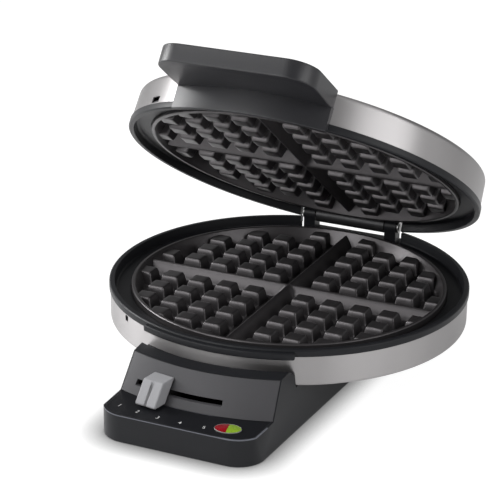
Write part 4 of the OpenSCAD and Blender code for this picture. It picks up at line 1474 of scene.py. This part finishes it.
# ---------------------------------------------------------------- base
@dataclass
class Indicator:
    """Oval indicator: a bright rim round a red and a green domed lens."""

    centre: tuple[float, float] = (26.03, -133.9)
    angle: float = 11.0
    half_long: float = 6.6
    half_wide: float = 4.6
    dome: float = 0.6
    step: float = 0.55
    deep: float = 3.0
    gap: float = 0.03
    rim_w: float = 0.3
    rim_out: float = 0.1
    rim_up: float = 0.25

    def place(self) -> Matrix:
        """Places a shape drawn round the indicator's middle on the shelf."""
        return (Matrix.Translation((*self.centre, SHELF_Z))
                @ Matrix.Rotation(math.radians(self.angle), 4, "Z"))

    def lens(self, side: int) -> Shells:
        """Half of a domed oval, cut along its short axis.

        At a share s of the way out, the dome is dome * (1 - s^2) high over a small step.

        Args:
            side: -1 for the left half and 1 for the right.

        Returns:
            The half's closed shell.
        """
        angle = np.linspace(-math.pi / 2, math.pi / 2, 25)[:, None]
        share = np.linspace(0, 1, 9)
        x = side * self.half_long * share * np.cos(angle) + side * self.gap
        y = self.half_wide * share * np.sin(angle)
        z = np.broadcast_to(self.step + self.dome * (1 - share**2), x.shape)
        base = np.full_like(z, -self.deep)
        shells = Shells()
        shells.plate(np.stack([x, y, z], axis=-1), np.stack([x, y, base], axis=-1),
                     np.ones((len(angle) - 1, len(share) - 1), bool))
        return shells

    def rim(self) -> Shells:
        """A rounded bead carried round the oval.

        Returns:
            The bead's closed shell.
        """
        angle = np.linspace(0, 2 * math.pi, 65)[:-1, None]
        turn = np.linspace(0, 2 * math.pi, 17)[:-1]
        out = self.rim_w / 2 * (1 + np.cos(turn)) + self.rim_out
        up = self.rim_w * np.sin(turn) + self.rim_up
        points = np.stack(np.broadcast_arrays((self.half_long + out) * np.cos(angle),
                                              (self.half_wide + out) * np.sin(angle), up), axis=-1)
        shells = Shells()
        shells.grid(points, close_u=True, close_v=True)
        return shells


@dataclass
class Figures:
    """The browning scale's figures, printed on the shelf along the lever's arc."""

    radius: float = 139.2
    tall: float = 2.8
    thin: float = 0.06
    print_t: float = 0.03
    angles: Sequence[float] = (-14.6, -9.7, -4.6, 0.6, 6.0)

    def build(self) -> bpy.types.Object:
        """Each figure as text made a mesh, then turned and moved to its place.

        At the angle a, a figure stands at (r sin a, -r cos a) with its foot away from the
        axis, just proud of the shelf.

        Returns:
            All the figures as one piece.
        """
        shape = bmesh.new()
        for number, angle in enumerate(self.angles, 1):
            curve = bpy.data.curves.new(f"figure_{number}", "FONT")
            curve.body = str(number)
            curve.size = self.tall * 1.4 * MM  # a figure is 1 / 1.4 of the text's size
            curve.extrude = self.print_t * MM
            curve.offset = -self.thin * MM
            curve.align_x = "CENTER"
            text = bpy.data.objects.new(curve.name, curve)
            bpy.context.scene.collection.objects.link(text)
            mesh = bpy.data.meshes.new_from_object(
                text.evaluated_get(bpy.context.evaluated_depsgraph_get()))
            bpy.data.objects.remove(text)
            turn = math.radians(angle)
            spot = Vector((self.radius * math.sin(turn), -self.radius * math.cos(turn),
                           SHELF_Z + self.print_t))
            mesh.transform(Matrix.Translation(spot * MM) @ Matrix.Rotation(turn, 4, "Z"))
            shape.from_mesh(mesh)
            bpy.data.meshes.remove(mesh)
        whole = bpy.data.meshes.new("scale_figures")
        shape.to_mesh(whole)
        shape.free()
        return finish_mesh("scale_figures", whole, sharp=30.0)


# ---------------------------------------------------------------- studio
def rays(graph: Graph, *kinds: str) -> Socket:
    """Tells rays apart.

    Args:
        graph: The graph to add the nodes to.
        kinds: Kinds of ray, by their Light Path names.

    Returns:
        1 for a ray of any of these kinds and 0 for the rest.
    """
    path = [graph.node("ShaderNodeLightPath", {}, output=kind) for kind in kinds]
    seen = path[0]
    for other in path[1:]:
        seen = graph.node("ShaderNodeMath", {"operation": "MAXIMUM"}, [seen, other])
    return seen


@dataclass(frozen=True)
class Lamp:
    """A soft rectangular lamp: its middle, its width and height, and its radiance."""

    name: str
    spot: Triple
    size: tuple[float, float]
    radiance: float

    def hang(self) -> None:
        """Hangs it facing the part; its power is pi * area * radiance."""
        data = bpy.data.lights.new("lamp." + self.name, "AREA")
        data.shape = "RECTANGLE"
        data.size, data.size_y = (side * MM for side in self.size)
        data.energy = math.pi * data.size * data.size_y * self.radiance
        lamp = bpy.data.objects.new(data.name, data)
        at, aim = Vector(self.spot) * MM, Vector((0, 0, 50)) * MM
        turn = (aim - at).to_track_quat("-Z", "Y").to_matrix().to_4x4()
        lamp.matrix_world = Matrix.Translation(at) @ turn
        lamp.visible_camera = False
        bpy.context.scene.collection.objects.link(lamp)


@dataclass
class Studio:
    """Pale floor, white surroundings, soft lamps and the camera.

    The surroundings light the part at the level of backdrop, and stand at 1 in mirrors.
    Both fall to dim towards dim_way, to behind at the back and to ceiling overhead. The
    floor is seen at floor_glow and mirrored at mirror_glow; near the part, within nook, it
    darkens by open space to the power of shadow.
    """

    camera_at: Triple = (398.08, -934.30, 455.00)
    azimuth: float = 24.309
    elevation: float = 21.334
    roll: float = 0.841
    lens: float = 143.1
    backdrop: float = 0.7
    dim: float = 0.3
    dim_way: Triple = (0.25, -0.95, 0.18)
    behind: float = 0.35
    ceiling: float = 0.5
    floor_half: float = 4000.0
    floor_glow: float = 0.955
    mirror_glow: float = 0.32
    nook: float = 17.0
    shadow: float = 2.6
    lamps: Sequence[Lamp] = (
        Lamp("left", (-920, -150, 400), (380, 380), 16.0),
        Lamp("front", (-420, -930, 560), (640, 520), 4.2),
        Lamp("right", (920, -230, 520), (760, 420), 3.2),
        Lamp("top", (-380, -400, 870), (240, 240), 5.0))

    def camera(self) -> None:
        """A camera turned by azimuth, elevation and roll about its own axis."""
        data = bpy.data.cameras.new("camera")
        data.lens = self.lens
        data.sensor_width = 36.0
        data.clip_start, data.clip_end = 0.05, 20.0
        camera = bpy.data.objects.new("camera", data)
        a, e = math.radians(self.azimuth), math.radians(self.elevation)
        back = Vector((math.sin(a) * math.cos(e), -math.cos(a) * math.cos(e), math.sin(e)))
        right = (-back).cross(Vector((0, 0, 1))).normalized()
        up = right.cross(-back)
        turn = math.radians(self.roll)
        rolled = right * math.cos(turn) + up * math.sin(turn)
        over = up * math.cos(turn) - right * math.sin(turn)
        basis = Matrix((rolled, over, back)).transposed()
        camera.matrix_world = (Matrix.Translation(Vector(self.camera_at) * MM)
                               @ basis.to_4x4())
        bpy.context.scene.collection.objects.link(camera)
        bpy.context.scene.camera = camera

    def light(self) -> None:
        """Soft area lamps that face the part, and a white world with its dimmer sides."""
        for lamp in self.lamps:
            lamp.hang()
        world = bpy.data.worlds.new("surroundings")
        bpy.context.scene.world = world
        graph = Graph(world)
        way = graph.node("ShaderNodeTexCoord", {}, output="Generated")
        front = graph.along(way, tuple(Vector(self.dim_way).normalized()))
        back, height = (graph.part(way, axis) for axis in "YZ")
        shade = ((1.0 - front.step(0.45, 0.95) * (1.0 - self.dim))
                 * (1.0 - back.step(0.3, 0.8) * (1.0 - self.behind))
                 * (1.0 - height.step(0.05, 0.5) * (1.0 - self.ceiling)))
        glossy = rays(graph, "Is Glossy Ray")
        seen = rays(graph, "Is Camera Ray", "Is Transmission Ray")
        level = (glossy * (1.0 - self.backdrop) + self.backdrop) * shade
        graph.close(graph.node("ShaderNodeBackground", {},
                               {"Color": (1.0, 1.0, 1.0, 1.0),
                                "Strength": seen + (1.0 - seen) * level}),
                    "ShaderNodeOutputWorld")

    def floor(self) -> None:
        """A wide white floor that keeps the part's shadow."""
        shells = Shells()
        line = np.linspace(-self.floor_half, self.floor_half, 3)
        x, y = np.meshgrid(line, line, indexing="ij")
        shells.grid(np.stack([x, y, np.zeros_like(x)], axis=-1))
        floor = shells.build("floor")
        graph = Graph.material("finish.floor")
        mottle = graph.noise(graph.place(), pitch=160.0)
        seen = rays(graph, "Is Camera Ray", "Is Transmission Ray")
        mirrored = rays(graph, "Is Glossy Ray")
        nook = graph.node("ShaderNodeAmbientOcclusion", {"samples": 16},
                          {"Distance": self.nook * MM}, output="AO")
        pale = graph.mix(mottle, (0.80, 0.80, 0.80), (0.82, 0.82, 0.82))
        shade = graph.node("ShaderNodeBsdfDiffuse", {},
                           {"Color": graph.mix(seen, pale, (0.20, 0.20, 0.20))})
        glow = graph.node("ShaderNodeEmission", {},
                          {"Strength": seen * nook ** self.shadow * self.floor_glow
                           + mirrored * self.mirror_glow})
        graph.close(graph.node("ShaderNodeAddShader", {}, [shade, glow]))
        floor.data.materials.append(graph.owner)


# ---------------------------------------------------------------- assembly
@dataclass
class WaffleMaker:
    """The whole part: each sub-assembly built in turn and tied to its body."""

    builder: Builder
    layout: Layout

    def build_lid(self) -> None:
        """Cover, rim, plate and handle."""
        add, at = self.builder.add, self.layout.upper()
        cover = LidCover(self.layout).shells().build("steel_lid_cover", at)
        add(cover, Slot.brushed_steel, "lid_cover")
        rim = Rim("upper_gutter_rim", "lid_rim", self.layout, gutter=4.5)
        add(rim.shells().build(rim.name, at), Slot.black_plastic, rim.node)
        plate = WafflePlate("upper_waffle_plate", "upper_plate", self.layout, flange_h=6.1)
        add(plate.shells().build(plate.name, at, sharp=50.0), Slot.nonstick, plate.node)
        handle = LidHandle(self.layout).shells().build("moulded_handle", at, sharp=40.0)
        add(handle, Slot.handle_plastic, "lid_handle")
        self.builder.copy("hinge_bracket", "hinge_knuckle_bracket", Slot.dark_steel, edge=0.3)

    def build_pan(self) -> None:
        """Lower rim with its front lip, band and plate."""
        add, at = self.builder.add, self.layout.lower()
        rim = Rim("lower_gutter_rim", "lower_rim", self.layout, gutter=5.8)
        shells = rim.shells()
        FrontLip(self.layout).add_to(shells)
        add(shells.build(rim.name, at), Slot.black_plastic, rim.node)
        band = LowerBand(self.layout).shells().build("steel_lower_band", at)
        add(band, Slot.brushed_steel, "lower_band")
        plate = WafflePlate("lower_waffle_plate", "lower_plate", self.layout, flange_h=7.4)
        add(plate.shells().build(plate.name, at, sharp=50.0), Slot.nonstick, plate.node)

    def build_base(self) -> None:
        """Housing, its covers, panel, knob, bush, feet, indicator and figures."""
        copy, add = self.builder.copy, self.builder.add
        low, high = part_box("control_panel")
        margin = Vector((1.5, 1.5, 0.9)) * MM
        copy("base_housing", "pedestal_housing", Slot.black_plastic, edge=0.6,
             crisp=(low - margin, high + margin))
        for node, name, slot, edge, steps in (
                ("hinge_cover", "hinge_column_cover", Slot.black_plastic, 0.4, 2),
                ("control_panel", "browning_panel", Slot.panel_grey, 0.3, 2),
                ("slider_knob", "lever_knob", Slot.knob_silver, 0.7, 3),
                ("cord_grommet", "cord_bush", Slot.rubber, 0.4, 2),
                ("bottom_cover", "underside_cover", Slot.black_plastic, 0.3, 2),
                ("rubber_feet", "foot_pads", Slot.rubber, 0.3, 2)):
            copy(node, name, slot, edge, steps)
        indicator = Indicator()
        for shells, name, slot, node in (
                (indicator.lens(-1), "lens_left_red", Slot.lens_red, "lens_red"),
                (indicator.lens(1), "lens_right_green", Slot.lens_green, "lens_green"),
                (indicator.rim(), "indicator_rim", Slot.bezel_white, "lamp_bezel")):
            add(shells.build(name, indicator.place()), slot, node)
        add(Figures().build(), Slot.figures_white, body="base", named=False)


def main() -> None:
    """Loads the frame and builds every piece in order."""
    logging.basicConfig(level=logging.INFO, format="%(name)s %(message)s")
    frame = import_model()
    layout = Layout.from_frame(frame)
    builder = Builder(frame)
    builder.dress_rest()
    maker = WaffleMaker(builder, layout)
    maker.build_lid()
    maker.build_pan()
    maker.build_base()
    studio = Studio()
    studio.camera()
    studio.light()
    studio.floor()
    bpy.context.scene.view_settings.view_transform = "Standard"


if __name__ == "__main__":
    main()
